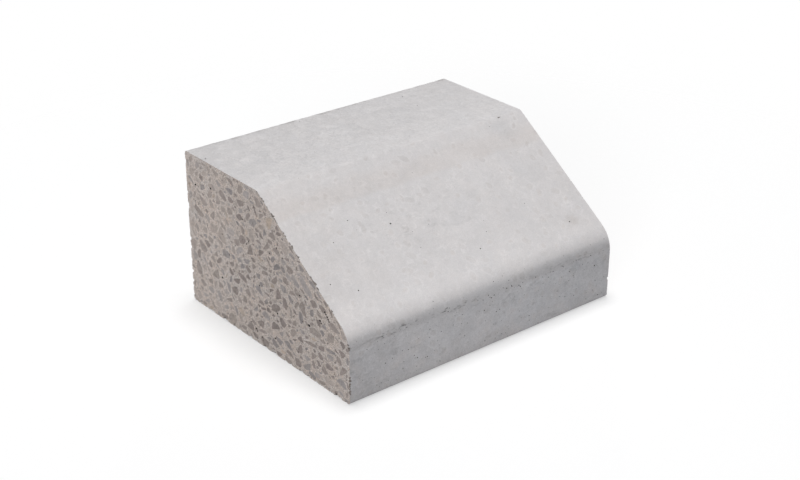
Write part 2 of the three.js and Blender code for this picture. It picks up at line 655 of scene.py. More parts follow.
# For each face: two places on it, half width, half height and depth, in mm. A mark is a bubble, unless it
# is called a chunk.
MARKS = {
    on_splay: [
        (-52.8, 68.7, 0.9, 0.75, 0.9),
        (120.0, 125.0, 0.7, 0.6, 0.8),
        (-118.3, 116.5, 0.6, 0.6, 0.8),
        (14.8, 119.3, 0.55, 0.55, 0.8),
        (-138.7, 102.9, 0.55, 0.5, 0.7),
        (-89.4, 53.0, 0.5, 0.45, 0.7),
        (-113.7, 68.1, 0.5, 0.45, 0.7),
        (31.3, 106.2, 0.42, 0.4, 0.6),
        (-49.9, 57.6, 0.35, 0.35, 0.6),
        (-37.6, 82.6, 0.3, 0.3, 0.6),
        (35.6, 95.3, 0.3, 0.3, 0.6),
        (106.2, 7.7, 0.3, 0.3, 0.8),
        (122.5, 1.5, 2.4, 0.8, 1.2, CHUNK),
    ],
    on_top: [
        (85.9, 16.7, 0.6, 0.6, 1.1),
        (81.5, 44.8, 0.65, 0.6, 1.1),
        (-147.6, 28.8, 0.8, 0.6, 1.2),
        (-31.0, 8.2, 0.5, 0.5, 1.0),
    ],
    on_front: [
        (-32.8, 1.8, 1.9, 1.0, 1.3, CHUNK),
        (131.9, 39.0, 0.8, 0.7, 0.8),
        (10.2, 32.6, 0.6, 0.55, 0.7),
        (-79.6, 19.2, 0.6, 0.55, 0.7),
        (-4.2, 38.6, 0.55, 0.5, 0.7),
        (-68.5, 16.1, 0.55, 0.5, 0.7),
        (99.3, 43.3, 0.5, 0.45, 0.6),
        (-29.7, 43.4, 0.45, 0.4, 0.6),
        (-106.7, 28.3, 0.45, 0.4, 0.6),
    ],
    on_left_cut: [
        (104.4, 121.6, 0.95, 1.3, 1.8),
        (79.3, 126.4, 1.0, 1.45, 1.8),
        (67.6, 43.1, 1.0, 1.3, 1.8),
        (15.6, 13.4, 0.9, 1.2, 1.6),
        (13.9, 11.3, 0.7, 0.9, 1.4),
        (7.8, 59.4, 0.8, 0.9, 1.6),
        (-9.8, 97.1, 0.75, 0.85, 1.6),
        (-13.8, 16.3, 0.9, 1.15, 2.0),
        (-18.4, 42.9, 0.95, 1.15, 2.0),
        (-52.1, 74.4, 0.75, 0.85, 1.6),
        (-64.8, 51.3, 1.1, 1.55, 2.4),
        (-80.6, 62.6, 1.1, 1.2, 2.0),
        (-82.1, 60.9, 0.8, 1.0, 1.8),
        (-87.4, 73.6, 0.8, 0.9, 1.8),
        (-88.9, 72.0, 0.9, 1.0, 1.8),
        (-90.5, 70.3, 0.9, 1.1, 1.8),
        (-91.9, 68.5, 0.9, 1.1, 1.8),
        (-93.0, 66.8, 0.7, 0.9, 1.8),
    ],
}
# Along the kerb, from and to, in mm, where the marks below the nose run together.
SMEARS = [(-118, -85), (-47, -10), (20, 34), (89, 124)]
SMEAR_HEIGHT = 51.5
LOOSE_BUBBLES = 60  # round bug holes scattered along the same line


def marks_below_nose(chooser):
    """The broken line of shallow marks, and the bug holes round it."""
    marks = []
    for start, end in SMEARS:
        x = start
        while x < end:
            x += chooser.uniform(0.5, 2.2)
            height = SMEAR_HEIGHT + chooser.gauss(0, 0.7)
            size = chooser.uniform(0.22, 0.5)
            marks.append((on_front, x, height, size * 1.3, size * 0.6, size * 0.5, CHUNK))
    for _ in range(LOOSE_BUBBLES):
        x = chooser.uniform(-150, 150)
        size = 0.22 + 0.32 * chooser.random() ** 2
        height = SMEAR_HEIGHT + chooser.gauss(0.3, 2.0)
        marks.append((on_front, x, height, size * 1.3, size, size * 1.4))
    return marks


def marks_cloud(seed):
    marks = [(face, *row) for face, rows in MARKS.items() for row in rows]
    marks += marks_below_nose(random.Random(seed))
    places, outwards, sizes, kinds = [], [], [], []
    for face, along, across, wide, high, deep, *kind in marks:
        place, out = face(along, across)
        places.append(place)
        outwards.append(out)
        sizes.append((wide * MM, high * MM, deep * MM))
        kinds.append(kind[0] if kind else BUBBLE)
    return cloud("marks", places, out=outwards, size=sizes, kind=kinds)


clouds["marks"] = put("marks", marks_cloud(23))
print(len(clouds["marks"].data.vertices), "marks, of which", sum(map(len, MARKS.values())), "by hand")

# %% [markdown]
# ## The worked kerb
# One group now takes everything away at once. The bug holes are scattered with Distribute Points on Faces,
# which turns each point to face out of its surface, with a density and a size that depend on where the face
# is. The bites in the two sawn arrises sit on the section curve itself, turned upright at each end. They are
# small along the top and larger along the other edges, and come in patches. A cutter's material stays with
# the face that it leaves, so the broken surfaces can look rougher and darker than the skin.

# %% Write a class that sets the cutters
BUBBLE_STEPS = 2  # subdivisions of an icosphere: 80 faces, of which half are left in the kerb
# Radii from the smallest to the largest. The higher the power, the fewer large ones there are.
BUG_HOLES = (0.17 * MM, 0.5 * MM, 2.2)
CUT_VOIDS = (0.16 * MM, 0.8 * MM, 4.0)
BITES = (0.3 * MM, 1.6 * MM, 2.4)
BITE_STEP = 0.9 * MM  # from one place for a bite to the next
BITE_PATCHES = 130.0  # scale of the noise that gathers the bites in patches
SAW_WASTE = 4 * MM  # what the saw takes off each end of the cast kerb
SAW_BLOCK = (0.276, 0.180)  # Y and Z of the block that is left between the two saw cuts, well over the kerb
SAW_CELL = 6 * MM  # the ends of that block are divided into cells of this size


def chance(tree, low, high, seed, kind="FLOAT"):
    return tree.out("FunctionNodeRandomValue", {"Min": low, "Max": high, "Seed": seed}, data_type=kind)


def skewed(tree, smallest, largest, power, seed):
    """A random size, with many near the smallest and few near the largest."""
    drawn = tree.math("POWER", chance(tree, 0.0, 1.0, seed), power)
    return tree.math("MULTIPLY_ADD", drawn, largest - smallest, smallest)


def any_turn(tree, seed):
    full = 2 * math.pi
    return chance(tree, (0.0, 0.0, 0.0), (full, full, full), seed, kind="FLOAT_VECTOR")


class Cutters:
    """Sets cutters on a kerb. Bubbles leave round pits, and lumps leave broken hollows."""

    def __init__(self, tree, given):
        self.tree, self.given = tree, given
        ball = tree.out("GeometryNodeMeshIcoSphere", {"Radius": 1.0, "Subdivisions": BUBBLE_STEPS})
        self.bubble = tree.out("GeometryNodeSetMaterial", {"Geometry": ball, "Material": given["Pit"]})
        broken = {"Geometry": each_of(tree, given["Lumps"]), "Material": given["Broken"]}
        self.lumps = tree.out("GeometryNodeSetMaterial", broken)

    def seed(self, step):
        return self.tree.math("ADD", self.given["Seed"], float(step))

    def put_bubbles(self, points, size, rotation, selection=True):
        sockets = {"Points": points, "Rotation": rotation, "Scale": size, "Selection": selection}
        return self.tree.out("GeometryNodeInstanceOnPoints", {**sockets, "Instance": self.bubble})

    def put_lumps(self, points, size, rotation, selection):
        picked = chance(self.tree, 0, LUMPS - 1, self.seed(90), kind="INT")
        sockets = {"Points": points, "Rotation": rotation, "Scale": size, "Selection": selection}
        sockets.update({"Instance": self.lumps, "Pick Instance": True, "Instance Index": picked})
        return self.tree.out("GeometryNodeInstanceOnPoints", sockets)

    def scattered(self, kerb):
        """Bug holes in the moulded faces and voids in the sawn ones."""
        tree, given = self.tree, self.given
        facing = tree.split(tree.out("GeometryNodeInputNormal"))
        sawn = tree.math("GREATER_THAN", tree.math("ABSOLUTE", facing[0]), 0.9)
        moulded = tree.math("SUBTRACT", 1.0, sawn)
        forwards = tree.ramp(facing[1], -0.8, -0.98)
        upwards = tree.ramp(facing[2], 0.5, 0.7)
        density = tree.times(forwards, moulded, given["Front Bubbles"])
        density = tree.math("MULTIPLY_ADD", tree.times(upwards, moulded), given["Splay Bubbles"], density)
        found = {"Mesh": kerb, "Density": density, "Seed": given["Seed"]}
        holes = tree.add("GeometryNodeDistributePointsOnFaces", found).outputs
        radius = skewed(tree, *BUG_HOLES, self.seed(1))
        size = tree.join(radius, radius, tree.times(radius, chance(tree, 0.9, 1.7, self.seed(2))))
        bug_holes = self.put_bubbles(holes["Points"], size, holes["Rotation"])

        found = {"Mesh": kerb, "Density": tree.times(sawn, given["Cut Voids"]), "Seed": self.seed(3)}
        voids = tree.add("GeometryNodeDistributePointsOnFaces", found).outputs
        radius = skewed(tree, *CUT_VOIDS, self.seed(4))
        size = tree.join(radius, radius, tree.times(radius, 2.0))
        return [bug_holes, self.put_bubbles(voids["Points"], size, voids["Rotation"])]

    def marks(self):
        """The marks with a place of their own, each turned to face out of its surface."""
        tree = self.tree
        marks = tree.out("GeometryNodeObjectInfo", {"Object": self.given["Marks"]}, output="Geometry")
        out = {"Vector": attribute(tree, "out", "FLOAT_VECTOR")}
        turned = tree.out("FunctionNodeAlignRotationToVector", out, axis="Z", pivot_axis="AUTO")
        size = attribute(tree, "size", "FLOAT_VECTOR")
        is_chunk = tree.math("GREATER_THAN", attribute(tree, "kind", "INT"), 0.5)
        is_bubble = tree.math("SUBTRACT", 1.0, is_chunk)
        return [
            self.put_bubbles(marks, size, turned, is_bubble),
            self.put_lumps(marks, size, turned, is_chunk),
        ]

    def harm(self):
        """How large the bites are along the section. Its own X is the kerb's Y, and its Y is the kerb's Z."""
        tree = self.tree
        across, up, _ = tree.split(tree.out("GeometryNodeInputPosition"))
        splay = tree.ramp(across, BACK_Y - 112 * MM, BACK_Y - 118 * MM)
        splay = tree.times(splay, tree.ramp(up, 30 * MM, 60 * MM))
        front = tree.ramp(across, FRONT_Y + 6 * MM, FRONT_Y + 1 * MM)
        front = tree.times(front, tree.ramp(up, 50 * MM, 36 * MM, 0.2, 1.4))
        back = tree.times(tree.ramp(across, BACK_Y - 2 * MM, BACK_Y - 0.5 * MM), 1.5)
        bed = tree.ramp(up, 1.5 * MM, 0.5 * MM, 0.34, 1.6)
        most = tree.math("MAXIMUM", tree.math("MAXIMUM", splay, front), back)
        return tree.math("MAXIMUM", most, bed)

    def bites(self, section, number, side, most):
        """Bites in the arris of one end, set on the section and stood upright at that end."""
        tree = self.tree
        step = 10 * (number + 1)
        beads = tree.out("GeometryNodeCurveToPoints", {"Curve": section, "Length": BITE_STEP}, mode="LENGTH")
        here = {"Vector": tree.out("GeometryNodeInputPosition"), "W": float(number)}
        cloudy = {**here, "Scale": BITE_PATCHES, "Detail": 1.0}
        patches = tree.out("ShaderNodeTexNoise", cloudy, noise_dimensions="4D")
        patchy = tree.times(self.harm(), tree.ramp(patches, 0.42, 0.6, 0.12 * most, most))
        bite = tree.times(skewed(tree, *BITES, self.seed(step)), patchy)
        odds = tree.math("MULTIPLY_ADD", patchy, 0.8, 0.03)
        kept = tree.math("LESS_THAN", chance(tree, 0.0, 1.0, self.seed(step + 1)), odds)
        size = tree.join(bite, tree.times(bite, 1.4), bite)
        bites = self.put_lumps(beads, size, any_turn(tree, self.seed(step + 2)), kept)
        placing = {
            "Geometry": bites,
            "Translation": tree.join(tree.times(self.given["Length"], 0.5 * side)),
            "Rotation": (math.pi / 2, 0.0, math.pi / 2),
        }
        return tree.out("GeometryNodeTransform", placing)


print("smallest and largest in mm:", [in_mm(kind[:2]) for kind in (BUG_HOLES, CUT_VOIDS, BITES)])

# %% Build the worked kerb as a node group
WORKED_INPUTS = {
    "Marks": "Object",
    "Lumps": "Collection",
    "Broken": "Material",
    "Pit": "Material",
    **CAST_INPUTS,
    "Front Bubbles": 12500.0,  # for each square metre, as are the next two
    "Splay Bubbles": 90.0,
    "Cut Voids": 5600.0,
    "Seed": 5,
}
MOST_HARM = {-1: 1.25, 1: 0.8}  # the left arris is the more broken one


def worked_tree():
    tree, given, result = open_group("worked kerb", WORKED_INPUTS, {"Kerb": "Geometry"})
    cast = tree.group(CAST, {**{name: given[name] for name in CAST_INPUTS}, "Overrun": SAW_WASTE})
    cells = {
        "Size": tree.join(given["Length"], *SAW_BLOCK),
        "Vertices X": 2,
        "Vertices Y": round(SAW_BLOCK[0] / SAW_CELL) + 1,
        "Vertices Z": round(SAW_BLOCK[1] / SAW_CELL) + 1,
    }
    block = tree.out("GeometryNodeMeshCube", cells)
    block = tree.out("GeometryNodeSetPosition", {"Geometry": block, "Offset": (0.0, 0.0, TOP_Z / 2)})
    kerb = boolean(tree, "INTERSECT", cast.outputs["Kerb"], [block])
    cutters = Cutters(tree, given)
    bites = [
        cutters.bites(cast.outputs["Section"], number, side, MOST_HARM[side])
        for number, side in enumerate((-1, 1))
    ]
    everything = [*cutters.scattered(kerb), *cutters.marks(), *bites]
    tree.feed(result["Kerb"], boolean(tree, "DIFFERENCE", kerb, everything))
    return tree.tree


WORKED = worked_tree()
print("worked kerb:", len(WORKED.nodes), "nodes")

# %% [markdown]
# ## Body and stones
# Two small trees finish the job. The body is the worked kerb without the stones of both ends, so every stone
# has a socket of its own shape behind it. The stones of an end are what the worked kerb and those stones
# share, so a bite in the arris or a void goes through stone and mortar alike. Each stone carries a random
# tone and a random kind, stored on its faces and drawn from its mesh island, for its colour.
#
# Two passing attributes keep the finishes apart. What carries no "outer" mark after the stones are taken away
# is the inside of a socket, and that is mortar. And because Intersect drops the materials of the kerb, "pit"
# remembers which faces of a stone belong to a pit, so they get the same dust and painted shade as a pit in
# the mortar.

# %% Build the body and the stones
FLAT_BEND = math.radians(24)  # an edge that bends more than this is a sharp one
FINISH_NAMES = ["Skin Finish", "Back Finish", "Mortar Finish", "Broken Finish", "Pit Dust And Shade", "Stone Finish"]
KERB_INPUTS = {
    "Marks": "Object",
    "Lumps": "Collection",
    "Left Stones": "Object",
    "Right Stones": "Object",
    **dict.fromkeys(FINISH_NAMES, "Material"),
    **SIZES,
}
GEOMETRY = {"Geometry": "Geometry"}


def smooth_but_sharp(tree, geometry, flat_faces, broken):
    """Smooth faces, with sharp edges where the surface bends and all round what is broken."""
    bend = tree.out("GeometryNodeInputMeshEdgeAngle", output="Unsigned Angle")
    gentle = tree.math("LESS_THAN", bend, FLAT_BEND)
    share = tree.out("GeometryNodeFieldOnDomain", {"Value": broken}, data_type="FLOAT", domain="FACE")
    inside = tree.math("GREATER_THAN", tree.math("ABSOLUTE", tree.math("SUBTRACT", share, 0.5)), 0.3)
    smooth_edge = tree.times(gentle, inside)
    rounded = tree.math("SUBTRACT", 1.0, flat_faces)
    for domain, smooth in (("EDGE", smooth_edge), ("FACE", rounded)):
        sockets = {"Geometry": geometry, "Shade Smooth": smooth}
        geometry = tree.out("GeometryNodeSetShadeSmooth", sockets, domain=domain)
    return geometry


def on_saw_cut(tree, length):
    """1 on faces that lie in either saw cut."""
    place = tree.split(tree.out("GeometryNodeInputPosition"))
    turned = tree.split(tree.out("GeometryNodeInputNormal"))
    almost_half = tree.math("MULTIPLY_ADD", length, 0.5, -0.01 * MM)
    at_end = tree.math("GREATER_THAN", tree.math("ABSOLUTE", place[0]), almost_half)
    square = tree.math("GREATER_THAN", tree.math("ABSOLUTE", turned[0]), 0.999)
    return tree.times(at_end, square)


def mark_faces(tree, geometry, name, value):
    """Stores a number on every face."""
    return tree.out(
        "GeometryNodeStoreNamedAttribute",
        {"Geometry": geometry, "Name": name, "Value": value},
        data_type="FLOAT",
        domain="FACE",
    )


def finish_faces(tree, geometry, given, finishes):
    """Gives faces their materials. Each pair is the name of a finish and which faces get it."""
    for label, where in finishes:
        sockets = {"Geometry": geometry, "Selection": where, "Material": given[label]}
        geometry = tree.out("GeometryNodeSetMaterial", sockets)
    return geometry


def shared_parts(tree, given):
    """The worked kerb and the stones of both ends."""
    sizes = {name: given[name] for name in SIZES}
    worked = {"Marks": given["Marks"], "Lumps": given["Lumps"]}
    worked.update({"Broken": given["Broken Finish"], "Pit": given["Pit Dust And Shade"]})
    kerb = tree.group(WORKED, {**worked, **sizes}, output="Kerb")
    ends = [
        tree.group(STONES, {"Cloud": given[name], "Lumps": given["Lumps"], **sizes}, output="Stones")
        for name in ("Left Stones", "Right Stones")
    ]
    return kerb, ends


def body_tree():
    tree, given, result = open_group("kerb body", KERB_INPUTS, GEOMETRY)
    kerb, ends = shared_parts(tree, given)
    body = boolean(tree, "DIFFERENCE", mark_faces(tree, kerb, "outer", 1.0), ends)
    body = tree.out("GeometryNodeRealizeInstances", {"Geometry": body})
    chunks, pits = [
        tree.out("GeometryNodeMaterialSelection", {"Material": given[label]})
        for label in ("Broken Finish", "Pit Dust And Shade")
    ]
    broken = tree.math("ADD", chunks, pits)
    body = smooth_but_sharp(tree, body, on_saw_cut(tree, given["Length"]), broken)
    whole = tree.math("SUBTRACT", 1.0, broken)
    in_socket = tree.math("LESS_THAN", attribute(tree, "outer", "FLOAT"), 0.5)
    facing = tree.split(tree.out("GeometryNodeInputNormal"))
    to_back = tree.math("GREATER_THAN", facing[1], 0.75)
    finishes = (
        ("Skin Finish", whole),
        ("Back Finish", tree.times(whole, to_back)),
        ("Mortar Finish", on_saw_cut(tree, given["Length"])),
        ("Mortar Finish", tree.times(whole, in_socket)),
    )
    body = finish_faces(tree, body, given, finishes)
    body = tree.out("GeometryNodeRemoveAttribute", {"Geometry": body, "Name": "outer"})
    tree.feed(result["Geometry"], body)
    return tree.tree


def aggregate_tree():
    inputs = {**KERB_INPUTS, "Right End": False, "Seed": 3}
    tree, given, result = open_group("aggregate", inputs, GEOMETRY)
    kerb, ends = shared_parts(tree, given)
    choice = {"Switch": given["Right End"], "False": ends[0], "True": ends[1]}
    of_end = tree.out("GeometryNodeSwitch", choice, input_type="GEOMETRY")
    pit = tree.out("GeometryNodeMaterialSelection", {"Material": given["Pit Dust And Shade"]})
    kerb = mark_faces(tree, kerb, "pit", pit)
    of_end = mark_faces(tree, of_end, "pit", 0.0)
    stones = boolean(tree, "INTERSECT", kerb, [of_end])
    stones = tree.out("GeometryNodeRealizeInstances", {"Geometry": stones})
    in_pit = tree.math("GREATER_THAN", attribute(tree, "pit", "FLOAT"), 0.5)
    stones = finish_faces(tree, stones, given, (("Stone Finish", True), ("Pit Dust And Shade", in_pit)))
    stones = tree.out("GeometryNodeRemoveAttribute", {"Geometry": stones, "Name": "pit"})
    island = tree.out("GeometryNodeInputMeshIsland", output="Island Index")
    for number, label in enumerate(("tone", "kind")):
        seed = tree.math("ADD", given["Seed"], float(number))
        sockets = {"Min": 0.0, "Max": 1.0, "ID": island, "Seed": seed}
        drawn = tree.out("FunctionNodeRandomValue", sockets, data_type="FLOAT")
        stones = mark_faces(tree, stones, label, drawn)
    tree.feed(result["Geometry"], stones)
    return tree.tree


FINISHES = {name: bpy.data.materials.new(name) for name in FINISH_NAMES}
given_values = {
    "Marks": clouds["marks"],
    "Lumps": lumps,
    "Left Stones": clouds["left stones"],
    "Right Stones": clouds["right stones"],
    **FINISHES,
}
AGGREGATE = aggregate_tree()
right_values = {**given_values, "Right End": True, "Seed": 8}
meshes = {
    "kerb_body": evaluated_mesh("kerb_body", body_tree(), given_values),
    "aggregate_left": evaluated_mesh("aggregate_left", AGGREGATE, given_values),
    "aggregate_right": evaluated_mesh("aggregate_right", AGGREGATE, right_values),
}


def keep_used_materials(mesh):
    """Drops the material slots that no face uses, and returns how many faces each of the others has."""
    slots = np.zeros(len(mesh.polygons), int)
    mesh.polygons.foreach_get("material_index", slots)
    used, new_slots, counts = np.unique(slots, return_inverse=True, return_counts=True)
    kept = [mesh.materials[slot] for slot in used.tolist()]
    mesh.materials.clear()
    for material in kept:
        mesh.materials.append(material)
    mesh.polygons.foreach_set("material_index", new_slots)
    return {material.name: count for material, count in zip(kept, counts.tolist())}


for mesh in meshes.values():
    report(mesh)
    print("   faces with each finish:", keep_used_materials(mesh))
for left_over in [*clouds.values(), *lumps.objects]:
    data = left_over.data
    bpy.data.objects.remove(left_over)
    bpy.data.meshes.remove(data)
bpy.data.collections.remove(lumps)

# %% [markdown]
# ## A flat map of every face
# A finish can be painted once onto a picture that travels with the mesh, and then each face needs a place of
# its own on a flat map. An unwrapping tool breaks a surface with thousands of small holes into as many scraps
# and wastes the picture on the gaps between them. Here the shape tells what to do. The moulded faces unroll
# like paper, by how far round the section a point lies, with the bed squeezed because it is hidden in use.
# The two sawn ends lie beside them as they are. A pit needs no room of its own: looked at square on, it
# exactly fills the hole that it leaves in the skin, and a socket fills the outline of its stone.

# %% Lay every face out flat
FLAT_MAP = "OFBake"
RIM = 0.004  # left free round each part of the map, as a share of its width
ROLLED_TO = 0.62  # how much of the map's height the unrolled faces take
BED_SHARE = 0.036  # of the map's width, for either half of the bed
BACK_SHARE = 0.15  # of the map's width, for the back
PIT_DEPTH = 3.2 * MM  # no pit or bite goes deeper than this


def read(items, name, width=1, kind=float):
    """One property of every item of a mesh, as rows of numbers."""
    found = np.zeros(len(items) * width, kind)
    items.foreach_get(name, found)
    return found.reshape(-1, width) if width > 1 else found


def section_outline():
    """The points of the section in order, as rows of y and z, from the middle of the bed."""
    tree, _, result = open_group("outline", {}, GEOMETRY)
    section = tree.group(SECTION, {}, output="Section")
    tree.feed(result["Geometry"], tree.out("GeometryNodeCurveToMesh", {"Curve": section}))
    mesh = evaluated_mesh("outline", tree.tree, {})
    points = read(mesh.vertices, "co", 3)[:, :2]
    bpy.data.meshes.remove(mesh)
    bpy.data.node_groups.remove(tree.tree)
    first = np.linalg.norm(points, axis=1).argmin()
    return np.roll(points, -first, axis=0)


OUTLINE = section_outline()
SIDES = np.roll(OUTLINE, -1, axis=0) - OUTLINE
SIDE_LENGTHS = np.linalg.norm(SIDES, axis=1)
REACHED = np.concatenate([[0.0], np.cumsum(SIDE_LENGTHS)])
WHOLE_WAY = REACHED[-1]


def way_round(places):
    """How far round the section the nearest point of its outline lies, and how far away that is."""
    way, gap = [], []
    for some in np.array_split(places, len(places) // 4000 + 1):
        away = some[:, None] - OUTLINE
        share = ((away * SIDES).sum(2) / SIDE_LENGTHS**2).clip(0, 1)
        distance = np.linalg.norm(away - share[:, :, None] * SIDES, axis=2)
        nearest = distance.argmin(1)
        row = np.arange(len(some))
        way.append(REACHED[nearest] + share[row, nearest] * SIDE_LENGTHS[nearest])
        gap.append(distance[row, nearest])
    return np.concatenate(way), np.concatenate(gap)


def corners(mesh):
    """For each corner of each face: its vertex and its face."""
    return read(mesh.loops, "vertex_index", kind=int), np.repeat(
        np.arange(len(mesh.polygons)), read(mesh.polygons, "loop_total", kind=int)
    )


def keep_map(mesh, across, up):
    layer = mesh.uv_layers.new(name=FLAT_MAP)
    layer.data.foreach_set("uv", np.stack([across, up], 1).ravel())
    print(f"{mesh.name}: map from {across.min():.3f}, {up.min():.3f} to {across.max():.3f}, {up.max():.3f}")


def lay_out_body(mesh):
    place = read(mesh.vertices, "co", 3)
    vertex, face = corners(mesh)
    middle = read(mesh.polygons, "center", 3)
    turned = read(mesh.polygons, "normal", 3)[:, 0]
    finish = read(mesh.polygons, "material_index", kind=int)
    slot = {material.name: number for number, material in enumerate(mesh.materials)}
    mortar = finish == slot["Mortar Finish"]
    broken = np.isin(finish, [slot["Broken Finish"], slot["Pit Dust And Shade"]])
    way, gap = way_round(place[:, 1:])

    # A face belongs to an end if it is mortar, sawn or in a socket, or is in a pit or a bite of that end.
    mean_gap = np.bincount(face, gap[vertex]) / np.bincount(face)
    near_end = HALF_LENGTH - np.abs(middle[:, 0]) < PIT_DEPTH
    in_end = near_end & ((mean_gap > PIT_DEPTH) | (np.abs(turned) > 0.6))
    on_end = (mortar | (broken & in_end))[face]

    # The section is a ring, so a face that crosses the cut in the ring is kept whole.
    first = way[vertex[read(mesh.polygons, "loop_start", kind=int)]][face]
    unrolled = first + (way[vertex] - first + WHOLE_WAY / 2) % WHOLE_WAY - WHOLE_WAY / 2
    turns, _ = way_round(np.array([(BACK_Y, 0.0), (BACK_Y, TOP_Z), (FRONT_Y, 0.0)]))
    widths = np.array([0, BED_SHARE, BACK_SHARE, 1 - 2 * RIM - 2 * BED_SHARE - BACK_SHARE, BED_SHARE])
    stops = [-0.1 * turns[0], 0.0, *turns, WHOLE_WAY, WHOLE_WAY + 0.1 * turns[0]]
    columns = RIM + np.cumsum(widths)
    columns = [columns[0] - 0.1 * BED_SHARE, *columns, columns[-1] + 0.1 * BED_SHARE]
    x, y, z = place[vertex].T
    side = np.sign(middle[face, 0])
    end_across = 0.5 + 0.25 * side + y * side / SIZES["Bed Depth"] * (0.5 - 2 * RIM)
    end_up = ROLLED_TO + 2 * RIM + z / TOP_Z * (1 - ROLLED_TO - 3 * RIM)
    across = np.where(on_end, end_across, np.interp(unrolled, stops, columns))
    up = np.where(on_end, end_up, RIM + (x / SIZES["Length"] + 0.5) * (ROLLED_TO - RIM))
    keep_map(mesh, across, up)


def lay_out_stones(mesh):
    """The cut faces of the stones lie as they are, and what is buried lies above them, squeezed."""
    place = read(mesh.vertices, "co", 3)
    vertex, face = corners(mesh)
    turned = np.sign(read(mesh.polygons, "normal", 3)[:, 0])
    outwards = turned * np.sign(read(mesh.polygons, "center", 3)[:, 0])
    _, y, z = place[vertex].T
    across = 0.5 + y * turned[face] / SIZES["Bed Depth"] * (1 - 2 * RIM)
    seen = RIM + z / TOP_Z * (ROLLED_TO - RIM)
    buried = ROLLED_TO + 2 * RIM + z / TOP_Z * (1 - ROLLED_TO - 3 * RIM)
    keep_map(mesh, across, np.where(outwards[face] > 0, seen, buried))


lay_out_body(meshes["kerb_body"])
lay_out_stones(meshes["aggregate_left"])
lay_out_stones(meshes["aggregate_right"])

# %% [markdown]
# ## Colour and grain shared by all the finishes
# All six finishes belong to one concrete, so they share a few small node groups. Each group works on the
# object's own coordinates, in metres, and puts out colours or values: a soft mottle, the tone of grains of
# sand, pinholes, or a colour made brighter and warmer.

# %% Build the shared node groups
def mottle_group():
    """Soft clouds from -1 to 1, of a given size."""
    inputs = {"Place": (0.0, 0.0, 0.0), "Size": 0.01, "Detail": 2.0, "Seed": 0.0}
    tree, given, result = open_group("mottle", inputs, {"Value": "Float"}, "ShaderNodeTree")
    noise = tree.out(
        "ShaderNodeTexNoise",
        {
            "Vector": given["Place"],
            "W": given["Seed"],
            "Scale": tree.math("DIVIDE", 1.0, given["Size"]),
            "Detail": given["Detail"],
            "Roughness": 0.55,
        },
        noise_dimensions="4D",
    )
    spread = tree.math("MULTIPLY_ADD", noise, 4.0, -2.0)
    tree.feed(result["Value"], tree.math("MAXIMUM", tree.math("MINIMUM", spread, 1.0), -1.0))
    return tree.tree


def sand_group():
    """Grains of sand. Each has a tone and a second random number, and Inside is 1 in its middle."""
    inputs = {"Place": (0.0, 0.0, 0.0), "Grain": 0.001}
    outputs = {"Tone": "Float", "Kind": "Float", "Inside": "Float"}
    tree, given, result = open_group("sand", inputs, outputs, "ShaderNodeTree")
    scale = tree.math("DIVIDE", 1.0, given["Grain"])
    cells = tree.add("ShaderNodeTexVoronoi", {"Vector": given["Place"], "Scale": scale, "Randomness": 1.0})
    red, green, _ = tree.add("ShaderNodeSeparateColor", {"Color": cells.outputs["Color"]}).outputs
    tree.feed(result["Tone"], red)
    tree.feed(result["Kind"], green)
    tree.feed(result["Inside"], tree.soft(cells.outputs["Distance"], 0.62, 0.2))
    return tree.tree


def pinhole_group():
    """Small round holes in some of the cells of a loose grid: 1 in a hole and 0 outside."""
    inputs = {"Place": (0.0, 0.0, 0.0), "Spacing": 0.004, "Radius": 0.1, "Share": 0.3}
    tree, given, result = open_group("pinholes", inputs, {"Hole": "Float"}, "ShaderNodeTree")
    scale = tree.math("DIVIDE", 1.0, given["Spacing"])
    cells = tree.add("ShaderNodeTexVoronoi", {"Vector": given["Place"], "Scale": scale, "Randomness": 1.0})
    red, green, _ = tree.add("ShaderNodeSeparateColor", {"Color": cells.outputs["Color"]}).outputs
    radius = tree.times(given["Radius"], tree.math("MULTIPLY_ADD", green, 0.7, 0.3))
    inside = tree.math("SUBTRACT", 1.0, tree.math("DIVIDE", cells.outputs["Distance"], radius), clamp=True)
    chosen = tree.math("LESS_THAN", red, given["Share"])
    tree.feed(result["Hole"], tree.times(tree.math("MULTIPLY", inside, 2.5, clamp=True), chosen))
    return tree.tree


def tint_group():
    """A colour made brighter or darker, and warmer or cooler, by small shares of itself."""
    inputs = {"Colour": "Color", "Brighter": 0.0, "Warmer": 0.0}
    tree, given, result = open_group("tint", inputs, {"Colour": "Color"}, "ShaderNodeTree")
    level = tree.math("ADD", given["Brighter"], 1.0)
    red = tree.times(level, tree.math("ADD", given["Warmer"], 1.0))
    green = tree.times(level, tree.math("MULTIPLY_ADD", given["Warmer"], 0.05, 1.0))
    blue = tree.times(level, tree.math("MULTIPLY_ADD", given["Warmer"], -0.8, 1.0))
    tree.feed(result["Colour"], tree.vector("MULTIPLY", given["Colour"], tree.join(red, green, blue)))
    return tree.tree


MOTTLE, SAND, PINHOLES, TINT = mottle_group(), sand_group(), pinhole_group(), tint_group()
print("shared groups:", [made.name for made in (MOTTLE, SAND, PINHOLES, TINT)])

# %% [markdown]
# ## A short way to write finishes
# A finish is one colour that many small things make a little brighter, warmer, rougher or higher, each where
# its mask says. This class keeps those four sums. One call of apply adds one thing to them, and close leads
# the sums into the shader. Masks go from 0 to 1 and mottles from -1 to 1.

# %% A class that writes finishes
def linear(red, green, blue):
    """A colour from 0 to 255, as a screen shows it, as the linear colour that a shader works with."""
    shares = [value / 255 for value in (red, green, blue)]
    return (*[s / 12.92 if s <= 0.04045 else ((s + 0.055) / 1.055) ** 2.4 for s in shares], 1.0)


